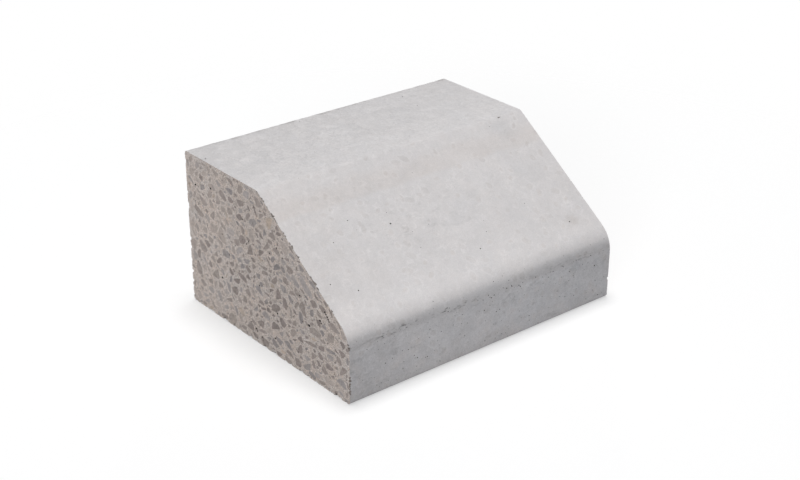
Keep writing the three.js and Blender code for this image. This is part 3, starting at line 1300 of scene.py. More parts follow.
class Finish(Tree):
    """One material being written, with its shared groups close at hand. Sizes and heights are in mm."""

    SPECULAR = 0.3  # concrete is porous, so it shines less than glass or plastic
    SLIM = 0.45  # by how much distances along a pebble are shortened, which draws it out into an oval
    OVAL = 1.25  # brings the rim of such an oval to about 0.5

    def __init__(self, material, roughness, brighter=0.0, warmer=0.0):
        material.use_nodes = True
        super().__init__(material.node_tree)
        self.shader = material.node_tree.nodes["Principled BSDF"]
        self.place = self.out("ShaderNodeTexCoord", output="Object")
        self.x, self.y, self.z = self.split(self.place)
        self.sums = {"brighter": brighter, "warmer": warmer, "rougher": roughness, "higher": 0.0}

    def mottle(self, size, seed, detail=2.0, place=None):
        sockets = {"Place": place or self.place, "Size": size * MM, "Detail": detail, "Seed": float(seed)}
        return self.group(MOTTLE, sockets, output="Value")

    def drawn_out(self, share):
        """Places on which a mottle is drawn out along the kerb. The smaller the share, the longer it gets."""
        return self.vector("MULTIPLY", self.place, (share, 1.0, 1.0))

    def sand(self, grain):
        return self.group(SAND, {"Place": self.place, "Grain": grain * MM}).outputs

    def pinholes(self, spacing, radius, share):
        sockets = {"Place": self.place, "Spacing": spacing * MM, "Radius": radius / spacing, "Share": share}
        return self.group(PINHOLES, sockets, output="Hole")

    def pebbles(self, size, shake, seed):
        """Slanted ovals, one in each cell of a loose grid: how far out of its oval a point is, from 0 in the
        middle to about 0.5 at the rim, how far it is to one side, and two random numbers for each oval."""
        size, shake = size * MM, shake * MM
        loose = self.out(
            "ShaderNodeTexNoise",
            {"Vector": self.place, "Scale": 1 / (0.6 * size), "Detail": 2.0},
            output="Color",
        )
        moved = self.vector("MULTIPLY_ADD", loose, (shake, shake, shake), self.place)
        moved = self.vector("ADD", moved, (seed, 2 * seed, 3 * seed))
        cells = {"Vector": moved, "Scale": 1 / size, "Randomness": 1.0}
        cell = self.add("ShaderNodeTexVoronoi", cells).outputs
        first, second, _ = self.add("ShaderNodeSeparateColor", {"Color": cell["Color"]}).outputs
        along = self.vector("NORMALIZE", self.vector("SUBTRACT", cell["Color"], (0.5, 0.5, 0.5)))
        away = self.vector("SUBTRACT", moved, cell["Position"])
        lengthwise = self.vector("DOT_PRODUCT", away, along)
        squeezed = self.vector("SCALE", along, Scale=self.times(lengthwise, -self.SLIM))
        reach = self.vector("LENGTH", self.vector("ADD", away, squeezed))
        sideways = self.vector("CROSS_PRODUCT", along, (0.58, 0.58, 0.58))
        side = self.times(self.vector("DOT_PRODUCT", away, sideways), 1 / size)
        return self.times(reach, self.OVAL / size), side, first, second

    def stain(self, middle, reach):
        """A soft round spot with a frayed rim: 1 in its middle and 0 outside."""
        away = self.vector("DISTANCE", self.place, tuple(middle))
        frayed = self.math("MULTIPLY_ADD", self.mottle(7.0, seed=61, detail=3.0), 0.2 * reach * MM, away)
        return self.soft(frayed, reach * MM, 0.25 * reach * MM)

    def centred(self, value):
        """A random number from 0 to 1 as one from -0.5 to 0.5."""
        return self.math("SUBTRACT", value, 0.5)

    def between(self, value, rise, fall):
        """A soft band: up from 0 to 1 over the first stretch, and down again over the second."""
        return self.times(self.soft(value, *rise), self.soft(value, *fall))

    def apply(self, mask, **effects):
        """Lets a mask make the finish brighter, warmer, rougher or higher by the weights given."""
        for effect, weight in effects.items():
            self.sums[effect] = self.math("MULTIPLY_ADD", mask, weight, self.sums[effect])

    def close(self, colour):
        sums = self.sums
        tinting = {"Colour": colour, "Brighter": sums["brighter"], "Warmer": sums["warmer"]}
        bumps = {"Strength": 1.0, "Distance": MM, "Height": sums["higher"]}
        self.feed(self.shader.inputs["Base Color"], self.group(TINT, tinting, output="Colour"))
        self.feed(self.shader.inputs["Roughness"], sums["rougher"])
        self.feed(self.shader.inputs["Normal"], self.out("ShaderNodeBump", bumps, output="Normal"))
        self.shader.inputs["Specular IOR Level"].default_value = self.SPECULAR


print("a grey of 203 in linear light:", round(linear(203, 203, 203)[0], 3))

# %% [markdown]
# ## The moulded skin and its regions
# A steel mould leaves a close, pale skin of cement. It has one look on the top, another on the splay and a
# third on the front, and most of its marks keep to one of them. So the regions come first, as masks made
# from the place of a point: its height, its distance from the back and its distance down the splay.

# %% Name the regions of the skin
class Skin(Finish):
    """The moulded skin, with the regions that its marks keep to."""

    def __init__(self, material):
        super().__init__(material, roughness=0.74)
        along = self.vector("DOT_PRODUCT", self.place, tuple(SPLAY_DOWN))
        self.down_splay = self.math("SUBTRACT", along, CREASE.dot(SPLAY_DOWN))
        self.below_crease = self.math("MULTIPLY_ADD", self.mottle(45.0, seed=14), 3 * MM, self.down_splay)
        behind_crease = self.ramp(self.y, CREASE.y - 2 * MM, CREASE.y + 4 * MM)
        self.on_top = self.times(behind_crease, self.ramp(self.z, TOP_Z - 10 * MM, TOP_Z - 5 * MM))
        self.off_top = self.math("SUBTRACT", 1.0, self.on_top)
        self.front = self.soft(self.z, 53 * MM, 47 * MM)

    def weigh(self, elsewhere, on_top):
        """A weight that is another one on the top."""
        return self.math("MULTIPLY_ADD", self.on_top, on_top - elsewhere, elsewhere)


skin = Skin(FINISHES["Skin Finish"])
print("regions:", len(skin.tree.nodes), "nodes")

# %% [markdown]
# ## Clouds and grain
# The skin isn't even. It is cloudy over a few centimetres, where the cement dried faster or slower, and
# finely grained close by. Clouds of several sizes are laid over each other, some of them stronger on the top.
# The top faces the main lamp squarely, so its colour is darkened as a whole: painted shade that keeps it from
# outshining the splay.

# %% Add clouds and grain
def add_clouds(skin):
    cloudy = skin.mottle(20.0, seed=8, detail=3.0)
    fine_ripple = skin.mottle(3.2, seed=6)
    grain = skin.mottle(0.9, seed=2)
    specks = skin.pinholes(3.4, 0.3, 0.2)
    skin.apply(skin.mottle(55.0, seed=7), brighter=0.022)
    skin.apply(cloudy, brighter=0.03, warmer=0.003)
    skin.apply(skin.mottle(7.0, seed=9, detail=3.0), brighter=skin.weigh(0.031, 0.022))
    skin.apply(skin.mottle(2.6, seed=10), brighter=skin.weigh(0.026, 0.046))
    skin.apply(skin.mottle(24.0, seed=11), warmer=0.005)
    skin.apply(skin.mottle(6.0, seed=25, detail=3.0), warmer=0.0045)
    skin.apply(skin.mottle(7.0, seed=12), rougher=0.06)
    skin.apply(skin.mottle(6.0, seed=13), higher=0.03)
    skin.apply(skin.times(skin.mottle(9.0, seed=1), skin.on_top), brighter=0.012)
    skin.apply(skin.times(fine_ripple, skin.on_top), brighter=0.02)
    skin.apply(skin.times(fine_ripple, skin.weigh(0.2, 1.0)), higher=0.05)
    skin.apply(grain, brighter=skin.weigh(0.07, 0.088), rougher=0.03, higher=0.014)
    skin.apply(specks, brighter=-0.3, rougher=0.2, higher=-0.3)
    # painted shade: the whole top is darker, to offset the main lamp that faces it squarely
    skin.apply(skin.on_top, brighter=-0.094, warmer=-0.006)
    skin.apply(skin.off_top, brighter=0.013)


add_clouds(skin)
print("with clouds:", len(skin.tree.nodes), "nodes")

# %% [markdown]
# ## Along the edges
# Some of the look follows the edges. The crease is paler, a band a little below the crease is brownish, and
# the back arris is soiled in patches. The upper side of the nose is paler too: a painted highlight where the
# round nose faces the lamps. The bed, and the lowest millimetre above it, are darker.

# %% Add what follows the edges
def add_edges(skin):
    band = skin.between(skin.below_crease, (9 * MM, 24 * MM), (38 * MM, 33 * MM))
    band = skin.times(band, skin.ramp(skin.mottle(28.0, seed=15), -1.0, 0.6, 0.45, 1.0))
    skin.apply(band, brighter=-0.05, warmer=0.02)

    close_to_crease = skin.soft(skin.math("ABSOLUTE", skin.down_splay), 1.8 * MM, 0.3 * MM)
    ridge = skin.times(close_to_crease, skin.ramp(skin.z, TOP_Z - 10 * MM, TOP_Z - 5 * MM))
    skin.apply(skin.times(ridge, skin.ramp(skin.x, -110 * MM, 20 * MM, 1.0, 0.3)), brighter=0.014)
    skin.apply(skin.times(skin.on_top, skin.ramp(skin.y, 50 * MM, 10 * MM)), brighter=0.065)
    skin.apply(skin.times(skin.on_top, skin.ramp(skin.y, 55 * MM, 110 * MM)), brighter=-0.022)

    soiling = skin.soft(skin.mottle(9.0, seed=27, detail=3.0), -0.4, 0.8)
    near_back = skin.soft(skin.y, BACK_Y - 8 * MM, BACK_Y - 1.5 * MM)
    back_arris = skin.times(near_back, skin.ramp(skin.z, TOP_Z - 10 * MM, TOP_Z - 3 * MM), soiling)
    skin.apply(back_arris, brighter=-0.4, warmer=0.02)

    # painted highlight: the upper side of the round nose is made paler, more so to the left
    nose_highlight = skin.between(skin.z, (60 * MM, 66 * MM), (88 * MM, 71 * MM))
    paler_to_left = skin.ramp(skin.x, -80 * MM, -20 * MM, 0.068, 0.038)
    skin.apply(skin.times(nose_highlight, paler_to_left), brighter=1.0)
    # darker towards the bottom: the bed and the lowest millimetre above it
    skin.apply(skin.ramp(skin.z, 1.2 * MM, 0.4 * MM), brighter=-0.12)


add_edges(skin)
print("with edges:", len(skin.tree.nodes), "nodes")

# %% [markdown]
# ## Stones behind the skin
# Crushed stone lies just behind the skin and holds back water as the cement dries, so it shows through: a
# larger stone as a faint dark patch with a paler rim, broken here and there, and a smaller one only as a
# pale crescent. Both are slanted ovals in the cells of a Voronoi texture. They are faint on the top.

# %% Add the stones that show through
GHOST = 10.5  # mm from one stone behind the skin to the next
CRESCENT = 11.0  # mm from one small stone to the next


def add_stones_behind(skin):
    away, side, sort, strength = skin.pebbles(GHOST, 4.5, 0.0)
    away = skin.math("MULTIPLY_ADD", sort, 0.15, away)
    shown = skin.times(skin.ramp(strength, 0.2, 0.75), skin.weigh(1.0, 0.25))
    patch = skin.times(skin.soft(away, 0.45, 0.3), shown)
    in_places = skin.ramp(skin.mottle(32.0, seed=37), -0.7, 0.5, 0.4, 1.1)
    fainter_low_down = skin.ramp(skin.below_crease, 45 * MM, 85 * MM, 1.0, 0.55)
    skin.apply(skin.times(patch, in_places, fainter_low_down), brighter=-0.09)
    skin.apply(patch, higher=-0.012)
    skin.apply(skin.math("SUBTRACT", sort, -0.35), warmer=skin.times(patch, 0.014))

    broken = skin.soft(skin.mottle(6.0, seed=16), -0.7, 0.3)
    one_side = skin.soft(side, -0.3, 0.05, 0.2, 1.0)
    rim = skin.times(skin.between(away, (0.38, 0.47), (0.62, 0.49)), broken, one_side, shown)
    skin.apply(rim, brighter=0.055, higher=0.01)

    far_out, turned, picked, _ = skin.pebbles(CRESCENT, 3.5, 0.9)
    crescent = skin.between(far_out, (0.32, 0.44), (0.6, 0.46))
    crescent = skin.times(crescent, skin.soft(turned, 0.0, 0.25), skin.ramp(picked, 0.3, 0.75))
    crescent = skin.times(crescent, skin.ramp(skin.below_crease, 26 * MM, 42 * MM, 0.25, 1.0), skin.off_top)
    skin.apply(crescent, brighter=0.06)


add_stones_behind(skin)
print("with the stones behind:", len(skin.tree.nodes), "nodes")

# %% [markdown]
# ## Veins and streaks
# Fine pale veins of lime run between the stones. They are the lines where soft noise changes sign, kept in
# some places only. Halfway down the splay there are grey streaks, drawn out along the kerb.

# %% Add veins and streaks
def vein(skin, lines, width, places):
    """Thin lines where a mottle changes sign, in the places that a second mottle picks."""
    line = skin.soft(skin.math("ABSOLUTE", lines), width, 0.0)
    return skin.times(line, skin.soft(places, -0.1, 0.6))


def add_veins(skin):
    wide = vein(skin, skin.mottle(11.0, seed=3, detail=3.0), 0.085, skin.mottle(19.0, seed=5))
    fine = vein(skin, skin.mottle(5.5, seed=4), 0.12, skin.mottle(12.0, seed=26))
    skin.apply(wide, brighter=0.07, higher=0.012)
    skin.apply(fine, brighter=0.045)

    from_middle = skin.math("ABSOLUTE", skin.math("ADD", skin.x, 22 * MM))
    from_halfway = skin.math("ABSOLUTE", skin.math("SUBTRACT", skin.below_crease, 72 * MM))
    streaked = skin.times(skin.soft(from_middle, 90 * MM, 35 * MM), skin.soft(from_halfway, 30 * MM, 8 * MM))
    drawn_out = skin.mottle(3.6, seed=44, detail=4.0, place=skin.drawn_out(0.45))
    streaks = skin.soft(drawn_out, 0.0, 0.7)
    streaks = skin.times(streaks, skin.ramp(streaked, 0.0, 1.0, 0.25, 1.0), skin.off_top)
    skin.apply(streaks, brighter=-0.085)


add_veins(skin)
print("with veins:", len(skin.tree.nodes), "nodes")

# %% [markdown]
# ## Flakes on the top
# From close by the top isn't quite level: the skin stands up in low flakes and islands, a few millimetres to
# a centimetre across and about half a millimetre high. They show by their relief, so each is a bump, and each
# is painted a little paler than the hollows round it: partly its own tone, partly a painted highlight on the
# raised skin.

# %% Add the flakes
FLAKE = 15.0  # mm from one raised flake of the top to the next


def add_flakes(skin):
    flaky = skin.ramp(skin.mottle(30.0, seed=39), -0.8, 0.6, 0.3, 1.0)
    flaky = skin.times(flaky, skin.ramp(skin.x, -20 * MM, 90 * MM, 1.15, 0.6))
    from_flake, _, pale, _ = skin.pebbles(FLAKE, 8.0, 0.4)
    flake = skin.times(skin.soft(from_flake, 0.64, 0.4), skin.ramp(pale, 0.15, 0.75), flaky)
    # partly painted highlight: the raised flakes are made paler, mostly on the top
    skin.apply(skin.times(flake, skin.weigh(0.15, 1.0)), brighter=0.05)
    skin.apply(skin.times(flake, skin.weigh(0.05, 1.0)), higher=0.45)

    large = skin.soft(skin.mottle(9.0, seed=38, detail=1.0), -0.15, 0.7)
    small = skin.soft(skin.mottle(5.0, seed=45, detail=1.0), 0.05, 0.7, 0.0, 0.8)
    island = skin.times(skin.math("MAXIMUM", large, small), skin.on_top, flaky)
    # partly painted highlight: the raised islands of the top are made paler
    skin.apply(island, brighter=0.056, warmer=0.003, higher=0.55)


add_flakes(skin)
print("with flakes:", len(skin.tree.nodes), "nodes")

# %% [markdown]
# ## Stains
# A few stains are large enough to have a place of their own: darker or paler, and a little warmer or cooler.

# %% Add the stains
# Face, two places on it and reach in mm, then how much brighter and how much warmer.
STAINS = [
    (on_splay, 124.0, 124.5, 8.5, -0.1, 0.018),
    (on_splay, 118.0, 14.0, 20.0, -0.05, -0.006),
    (on_splay, -14.0, 80.0, 9.0, -0.06, -0.004),
    (on_splay, 12.0, 84.0, 10.0, -0.045, -0.004),
    (on_splay, -124.0, 96.0, 12.0, 0.035, 0.0),
    (on_splay, 52.0, 60.0, 12.0, 0.03, 0.0),
    (on_top, -100.0, 82.0, 9.0, 0.05, 0.006),
    (on_front, 108.0, 47.0, 9.0, -0.08, -0.01),
]
for face, along, across, reach, brighter, warmer in STAINS:
    middle, _ = face(along, across)
    skin.apply(skin.stain(middle, reach), brighter=brighter, warmer=warmer)
print(len(STAINS), "stains")

# %% [markdown]
# ## The front
# The upright front stood deep in the mould, under the nose. It is cooler than the splay, clouded by damp and
# darker towards its ends. Right under the nose it is darker and cooler still: painted shade where the round
# nose turns away from the lamps. Along the line of small marks below the nose, air and water left fine dark
# streaks. They are drawn out along the kerb, and lie where the marks run together.

# %% Add the marks of the front
def add_front(skin):
    front = skin.front
    to_left = skin.soft(skin.x, -70 * MM, -145 * MM)
    left_of_splay = skin.times(to_left, skin.math("SUBTRACT", skin.off_top, front))
    skin.apply(left_of_splay, brighter=-0.021, warmer=0.007)
    skin.apply(front, brighter=-0.004, warmer=-0.013)
    to_ends = skin.soft(skin.math("ABSOLUTE", skin.x), 78 * MM, 135 * MM)
    skin.apply(skin.times(front, to_ends), brighter=-0.07)
    skin.apply(skin.times(front, skin.soft(skin.x, -70 * MM, -140 * MM)), brighter=-0.04)
    skin.apply(skin.times(front, skin.soft(skin.x, -60 * MM, 60 * MM)), warmer=-0.01)

    damp = skin.mottle(6.5, seed=17, detail=3.0, place=skin.drawn_out(0.5))
    skin.apply(skin.times(front, skin.soft(damp, 0.2, 0.75)), brighter=-0.14)
    skin.apply(skin.times(front, skin.mottle(22.0, seed=24)), brighter=0.055)
    skin.apply(skin.times(front, skin.mottle(3.0, seed=20)), brighter=0.06)
    skin.apply(skin.times(front, skin.mottle(1.2, seed=46, detail=1.0)), brighter=0.075)
    soiled = skin.soft(skin.mottle(26.0, seed=18), 0.0, 0.9)
    skin.apply(skin.times(front, soiled), warmer=0.022)
    low_down = skin.times(front, skin.soft(skin.z, 24 * MM, 6 * MM))
    skin.apply(low_down, brighter=-0.026, warmer=0.009)


def add_under_nose(skin):
    # painted shade: a darker, cooler band right under the nose, where it turns away from the lamps
    shade_under_nose = skin.between(skin.z, (62.5 * MM, 57 * MM), (47.5 * MM, 54 * MM))
    uneven = skin.ramp(skin.mottle(24.0, seed=36), -1.0, 1.0, 0.75, 1.25)
    fainter_in_middle = skin.soft(skin.math("ABSOLUTE", skin.x), 20 * MM, 75 * MM, 0.68, 1.06)
    skin.apply(shade_under_nose, warmer=-0.012)
    skin.apply(skin.times(shade_under_nose, uneven, fainter_in_middle), brighter=-0.165)

    streak = skin.mottle(1.4, seed=19, place=skin.drawn_out(0.25))
    streak = skin.soft(streak, 0.0, 0.55)
    streak = skin.times(streak, skin.soft(skin.mottle(26.0, seed=28), -0.5, 0.5, 0.2, 1.0))
    wavering = skin.math("MULTIPLY_ADD", skin.mottle(14.0, seed=29), 1.6 * MM, skin.z)
    line = skin.between(wavering, (49.5 * MM, 52.0 * MM), (58.0 * MM, 53.5 * MM))
    where = 0.22
    for start, end in SMEARS:
        middle, reach = (start + end) / 2, (end - start) / 2
        away = skin.math("ABSOLUTE", skin.math("SUBTRACT", skin.x, middle * MM))
        smeared = skin.soft(away, (reach + 9) * MM, (reach - 3) * MM)
        where = skin.math("MULTIPLY_ADD", smeared, 0.7, where)
    skin.apply(skin.times(line, where, streak), brighter=-0.95)


add_front(skin)
add_under_nose(skin)
skin.close(linear(204.5, 201.5, 201.5))
print("moulded skin:", len(skin.tree.nodes), "nodes")

# %% [markdown]
# ## The struck back
# The back was never against steel. It was levelled with a straightedge while it was wet, so it is sandy,
# torn open here and there, and drawn out along the kerb.

# %% Write the struck back
def write_back(material):
    back = Finish(material, roughness=0.88)
    soft_cloud = back.mottle(22.0, seed=22, detail=3.0)
    drag = back.mottle(2.2, seed=21, detail=3.0, place=back.drawn_out(0.16))
    tone, kind, inside = back.sand(1.1)
    back.apply(soft_cloud, brighter=0.06, warmer=0.01)
    back.apply(back.mottle(4.0, seed=23), higher=0.12)
    back.apply(drag, brighter=0.05, higher=0.12)
    back.apply(back.centred(tone), brighter=0.12)
    back.apply(back.centred(kind), warmer=0.03)
    back.apply(tone, rougher=0.06)
    back.apply(inside, higher=0.1)
    back.apply(back.pinholes(6.0, 1.3, 0.5), brighter=-0.3, higher=-0.6)
    back.apply(back.pinholes(2.2, 0.42, 0.35), brighter=-0.25, higher=-0.25)
    back.close(linear(188, 183, 178))
    return len(back.tree.nodes)


print("struck back:", write_back(FINISHES["Back Finish"]), "nodes")

# %% [markdown]
# ## What the saw leaves on a cut
# Mortar and stones were cut in one stroke, so three things run over both. The saw leaves faint straight
# marks at a slant. Its slurry, of cement and water, dries to a pale film that is thicker towards the back.
# And the heart of the cut is a little darker than the rest.

# %% Name what both sawn finishes share
SAW_TILT = math.radians(17)


def paler_to_back(finish):
    """How much paler the slurry leaves the sawn end towards the back, as a share of its brightness."""
    return finish.soft(finish.y, 5 * MM, 105 * MM, -0.03, 0.075)


def heart(finish):
    """1 in the heart of the sawn end and 0 near its edges."""
    across = finish.math("ABSOLUTE", finish.math("ADD", finish.y, 22 * MM))
    up = finish.math("ABSOLUTE", finish.math("SUBTRACT", finish.z, 58 * MM))
    return finish.times(finish.soft(across, 62 * MM, 20 * MM), finish.soft(up, 46 * MM, 14 * MM))


def saw_marks(finish):
    """Fine parallel grooves that cross the sawn end at a slant, from -1 to 1."""
    across = finish.math(
        "ADD",
        finish.times(finish.y, math.cos(SAW_TILT)),
        finish.times(finish.z, math.sin(SAW_TILT)),
    )
    return finish.mottle(0.9, seed=31, place=finish.join(across))


print("saw marks at", round(math.degrees(SAW_TILT)), "degrees")

# %% [markdown]
# ## The sawn mortar
# Between the stones, the cut shows cement full of sand: pale, dark, clear and now and then ochre grains, half
# a millimetre to one and a half across. Tiny voids lie among them, more in some patches than in others, and
# in a few places the mortar is stained ochre.

# %% Write the sawn mortar
def write_mortar(material):
    mortar = Finish(material, roughness=0.84)
    coarse_tone, coarse_kind, coarse_inside = mortar.sand(1.5)
    fine_tone, fine_kind, fine_inside = mortar.sand(0.7)
    fine_offset = mortar.centred(fine_tone)
    mortar.apply(paler_to_back(mortar), brighter=1.0)
    mortar.apply(heart(mortar), brighter=-0.03)
    mortar.apply(mortar.soft(mortar.z, 60 * MM, 0.0), brighter=-0.01)
    mortar.apply(mortar.mottle(30.0, seed=32), brighter=0.03)
    mortar.apply(mortar.mottle(6.0, seed=33), brighter=0.04)
    mortar.apply(mortar.mottle(18.0, seed=34), warmer=0.028)
    mortar.apply(mortar.soft(mortar.mottle(14.0, seed=35), 0.55, 0.95), warmer=0.085)

    mortar.apply(fine_offset, brighter=0.6, warmer=-0.08)
    mortar.apply(mortar.centred(fine_kind), warmer=0.02)
    mortar.apply(fine_tone, rougher=0.08)
    mortar.apply(fine_inside, higher=0.012)
    mortar.apply(coarse_inside, higher=0.012)
    mortar.apply(mortar.times(mortar.ramp(fine_kind, 0.81, 0.88), fine_inside), brighter=-0.6)
    mortar.apply(mortar.times(mortar.ramp(coarse_kind, 0.80, 0.9), coarse_inside), brighter=-0.38)
    mortar.apply(mortar.times(mortar.ramp(coarse_kind, 0.16, 0.08), coarse_inside), brighter=0.24)
    mortar.apply(mortar.times(mortar.ramp(coarse_tone, 0.94, 0.97), coarse_inside), warmer=0.1)

    in_patches = mortar.ramp(mortar.mottle(17.0, seed=47), -0.4, 0.5, 0.15, 1.0)
    mortar.apply(mortar.times(mortar.pinholes(2.6, 0.4, 0.34), in_patches), brighter=-0.85, higher=-0.4)
    mortar.apply(saw_marks(mortar), brighter=0.008, higher=0.006)
    mortar.close(linear(206.8, 195.7, 188.0))
    return len(mortar.tree.nodes)


print("sawn mortar:", write_mortar(FINISHES["Mortar Finish"]), "nodes")

# %% [markdown]
# ## The cut stones
# The stone is a fine-grained, mauve-brown rock with some blue-grey and a few pale ones among it. The two
# numbers stored on each stone choose its colour and how dark it is. Inside a stone there are fine crystals
# and soft clouds, the dried slurry hazes it, and the saw leaves it a little smoother than the mortar.

# %% Write the cut stones
STONE_COLOURS = [
    (0.00, (157, 147, 142)),
    (0.28, (149, 139, 135)),
    (0.48, (165, 155, 149)),
    (0.60, (157, 151, 150)),
    (0.77, (170, 163, 161)),
    (0.88, (179, 169, 163)),
    (0.97, (183, 169, 156)),
]
SLURRY = (198, 187, 179)  # the paste of cement and water that the saw leaves, dried to a film


def rock(stone, kind):
    """The colour of a stone by its kind, under the film of slurry."""
    ramp = stone.add("ShaderNodeValToRGB", {"Fac": kind})
    ramp.color_ramp.interpolation = "CONSTANT"
    stops = ramp.color_ramp.elements
    while len(stops) < len(STONE_COLOURS):
        stops.new(0.5)
    for stop, (position, colour) in zip(stops, STONE_COLOURS):
        stop.position = position
        stop.color = linear(*colour)
    towards_back = stone.ramp(stone.y, -20 * MM, 110 * MM)
    hazy = stone.math("MULTIPLY_ADD", towards_back, 1.1, stone.mottle(38.0, seed=43, detail=3.0))
    film = stone.soft(hazy, 0.0, 1.7, 0.0, 0.42)
    mixing = {"Factor": film, "A": ramp.outputs["Color"], "B": linear(*SLURRY)}
    return stone.out("ShaderNodeMix", mixing, data_type="RGBA")


def write_stone(material):
    stone = Finish(material, roughness=0.7, brighter=0.045, warmer=0.008)
    tone, kind = [
        stone.out("ShaderNodeAttribute", output="Fac", attribute_type="GEOMETRY", attribute_name=name)
        for name in ("tone", "kind")
    ]
    crystal, sort, inside = stone.sand(0.6)
    stone.apply(paler_to_back(stone), brighter=1.0)
    stone.apply(heart(stone), brighter=-0.12)
    stone.apply(stone.soft(stone.z, 32 * MM, 8 * MM), brighter=0.05)
    stone.apply(stone.centred(tone), brighter=0.25)
    stone.apply(stone.mottle(3.5, seed=41, detail=3.0), brighter=0.2)
    stone.apply(stone.mottle(1.6, seed=48), brighter=0.2)
    stone.apply(stone.mottle(5.0, seed=42), warmer=0.012)
    stone.apply(stone.centred(crystal), brighter=0.24)
    stone.apply(stone.centred(sort), warmer=0.015)
    stone.apply(crystal, rougher=0.1)
    stone.apply(inside, higher=0.006)
    stone.apply(stone.pinholes(2.6, 0.2, 0.12), brighter=-0.3)
    stone.apply(saw_marks(stone), higher=0.005)
    stone.close(rock(stone, kind))
    return len(stone.tree.nodes)


print("cut stones:", write_stone(FINISHES["Stone Finish"]), "nodes in", len(STONE_COLOURS), "colours")

# %% [markdown]
# ## Broken surfaces and pits
# Where an edge has broken off, the cement is torn, not cast or cut: it is darker and sandy. A pit or a void
# is deeper than it is wide and holds dust, and hardly any light comes out of it, so it is painted nearly
# black: partly for its dust, partly as painted shade deep inside it.

# %% Write the broken surfaces and the pits
def write_broken(material):
    broken = Finish(material, roughness=0.9)
    tone, kind, inside = broken.sand(0.5)
    broken.apply(broken.centred(tone), brighter=0.3)
    broken.apply(broken.centred(kind), warmer=0.04)
    broken.apply(broken.mottle(3.0, seed=51), brighter=0.1)
    broken.apply(broken.mottle(0.8, seed=52), higher=0.05)
    broken.apply(tone, rougher=0.08)
    broken.apply(inside, higher=0.06)
    broken.close(linear(138, 131, 126))


def write_pit(material):
    pit = Finish(material, roughness=0.92, warmer=0.01)
    pit.apply(pit.mottle(0.9, seed=53), brighter=0.25, rougher=0.05, higher=0.02)
    # nearly black: the pit's dust, and painted shade deep inside it
    pit.close(linear(44, 41, 39))


write_broken(FINISHES["Broken Finish"])
write_pit(FINISHES["Pit Dust And Shade"])
print("finishes:", {label: len(made.node_tree.nodes) for label, made in FINISHES.items()})

# %% [markdown]
# ## Put the pieces on the stone
# Each mesh becomes an object at the origin, because its place is already in its points. All of them are one
# stone, so they ride on the same body, and the cast body stands in for the plain CAD solid.

# %% Ride and replace
for name, mesh in meshes.items():
    piece = put(name, mesh)
    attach(piece, "root")
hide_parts("kerb_stone")
print("pieces:", list(meshes))

# %% [markdown]
# ## The floor and the background
# The stone lies on a plain white floor in front of a white wall, with no line where they meet. The wall is
# the world itself, which only the camera sees as white: the stone gets a weaker, even light from it. The
# floor is a disc that fades into that white towards its rim. What the camera sees of it is a little lit from
# within, so that it is white and still takes the shadow, while the light that it throws back onto the stone
# is that of a pale grey floor.

# %% Lay the floor and light the world
AMBIENT = 0.2  # light from all around, where 1 would light a surface fully
SKY_TINT = (0.97, 0.99, 1.04, 1.0)
WHITE = (1.0, 1.0, 1.0, 1.0)
FLOOR_SEEN = (0.55, 0.55, 0.55, 1.0)  # its own colour to the camera, which its glow then lifts to white
FLOOR_GLOW = 0.46
FLOOR_BOUNCE = (0.36, 0.36, 0.37, 1.0)
FADE_FROM, FADE_TO = 0.34, 0.85  # metres from the middle, where the floor turns into the background


def seen_directly(tree):
    """1 for rays that show the background: those of the camera, of gloss and of glass."""
    rays = tree.add("ShaderNodeLightPath").outputs
    seen = tree.math("ADD", rays["Is Camera Ray"], rays["Is Glossy Ray"])
    return tree.math("ADD", seen, rays["Is Transmission Ray"], clamp=True)


def make_floor():
    disc = bmesh.new()
    bmesh.ops.create_circle(disc, cap_ends=True, segments=96, radius=4.0)
    mesh = bpy.data.meshes.new("floor")
    disc.to_mesh(mesh)
    disc.free()
    material = bpy.data.materials.new("floor")
    material.use_nodes = True
    tree = Tree(material.node_tree)
    seen = seen_directly(tree)
    diffuse = material.node_tree.nodes["Principled BSDF"]
    diffuse.inputs["Roughness"].default_value = 0.9
    diffuse.inputs["Specular IOR Level"].default_value = 0.0
    colours = {"Factor": seen, "A": FLOOR_BOUNCE, "B": FLOOR_SEEN}
    tree.feed(diffuse.inputs["Base Color"], tree.out("ShaderNodeMix", colours, data_type="RGBA"))
    diffuse.inputs["Emission Color"].default_value = WHITE
    tree.feed(diffuse.inputs["Emission Strength"], tree.times(seen, FLOOR_GLOW))
    from_middle = tree.vector("LENGTH", tree.out("ShaderNodeTexCoord", output="Object"))
    fade = tree.times(seen, tree.soft(from_middle, FADE_FROM, FADE_TO))
    clear = tree.out("ShaderNodeBsdfTransparent")
    mixed = tree.tree.nodes.new("ShaderNodeMixShader")
    tree.feed_in_order(mixed, (fade, diffuse.outputs["BSDF"], clear))
    tree.feed(tree.tree.nodes["Material Output"].inputs["Surface"], mixed.outputs[0])
    mesh.materials.append(material)
    made = put("floor", mesh)


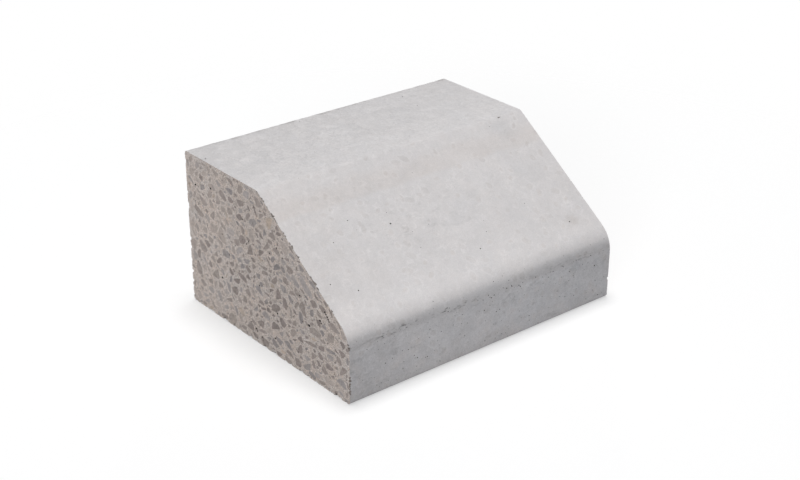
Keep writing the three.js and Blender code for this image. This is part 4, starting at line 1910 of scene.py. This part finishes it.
def light_world():
    """White for the camera, and a weak, slightly blue light for everything else."""
    world = bpy.data.worlds.new("white room")
    bpy.context.scene.world = world
    world.use_nodes = True
    tree = Tree(world.node_tree)
    background = world.node_tree.nodes["Background"]
    seen = seen_directly(tree)
    tint = tree.out("ShaderNodeMix", {"Factor": seen, "A": SKY_TINT, "B": WHITE}, data_type="RGBA")
    tree.feed(background.inputs["Color"], tint)
    tree.feed(background.inputs["Strength"], tree.ramp(seen, 0.0, 1.0, AMBIENT, 1.0))


make_floor()
light_world()
print("floor and background in place")

# %% [markdown]
# ## The lamps
# Two big soft lamps and a small one do the rest. The key hangs almost straight above the stone, a little
# behind it, so the top and the splay are bright, the round nose turns smoothly into shade, and the stone's
# own shadow stays under it. The fill stands low, in front and to the left, and lifts the sawn end above the
# front. The small back light stands low behind the stone and only serves views from that side. Their power
# follows from the light that is wanted on a surface that faces them: a lamp of P watts at a distance of d
# metres gives it P / (pi d)^2, where 1 shows a colour as it was mixed.

# %% Hang the lamps
def hang_lamp(name, direction, distance, size, level, colour):
    """A square lamp in the given direction from the stone that gives a facing surface the given level."""
    lamp = bpy.data.lights.new(name, "AREA")
    lamp.shape = "SQUARE"
    lamp.size = size
    lamp.energy = level * (math.pi * distance) ** 2
    lamp.color = colour
    towards = Vector(direction).normalized()
    made = put(name, lamp)
    made.location = Vector((0, 0, TOP_Z / 2)) + towards * distance
    made.rotation_euler = towards.to_track_quat("Z", "Y").to_euler()
    return round(lamp.energy, 1)


print("key:", hang_lamp("key", (0.04, 0.09, 1.0), 5.0, 2.0, 0.76, (1.0, 0.995, 0.985)), "watts")
print("fill:", hang_lamp("fill", (-0.42, -0.335, 0.08), 8.0, 3.6, 0.54, (0.99, 0.995, 1.0)), "watts")
print("back light:", hang_lamp("back light", (0.42, 0.44, 0.022), 8.0, 0.5, 0.22, (1.0, 1.0, 1.0)), "watts")

# %% [markdown]
# ## The view
# The picture uses the plain Standard view, so a colour of 203 is seen as 203 where the light is 1.

# %% Set the view
bpy.context.scene.view_settings.view_transform = "Standard"
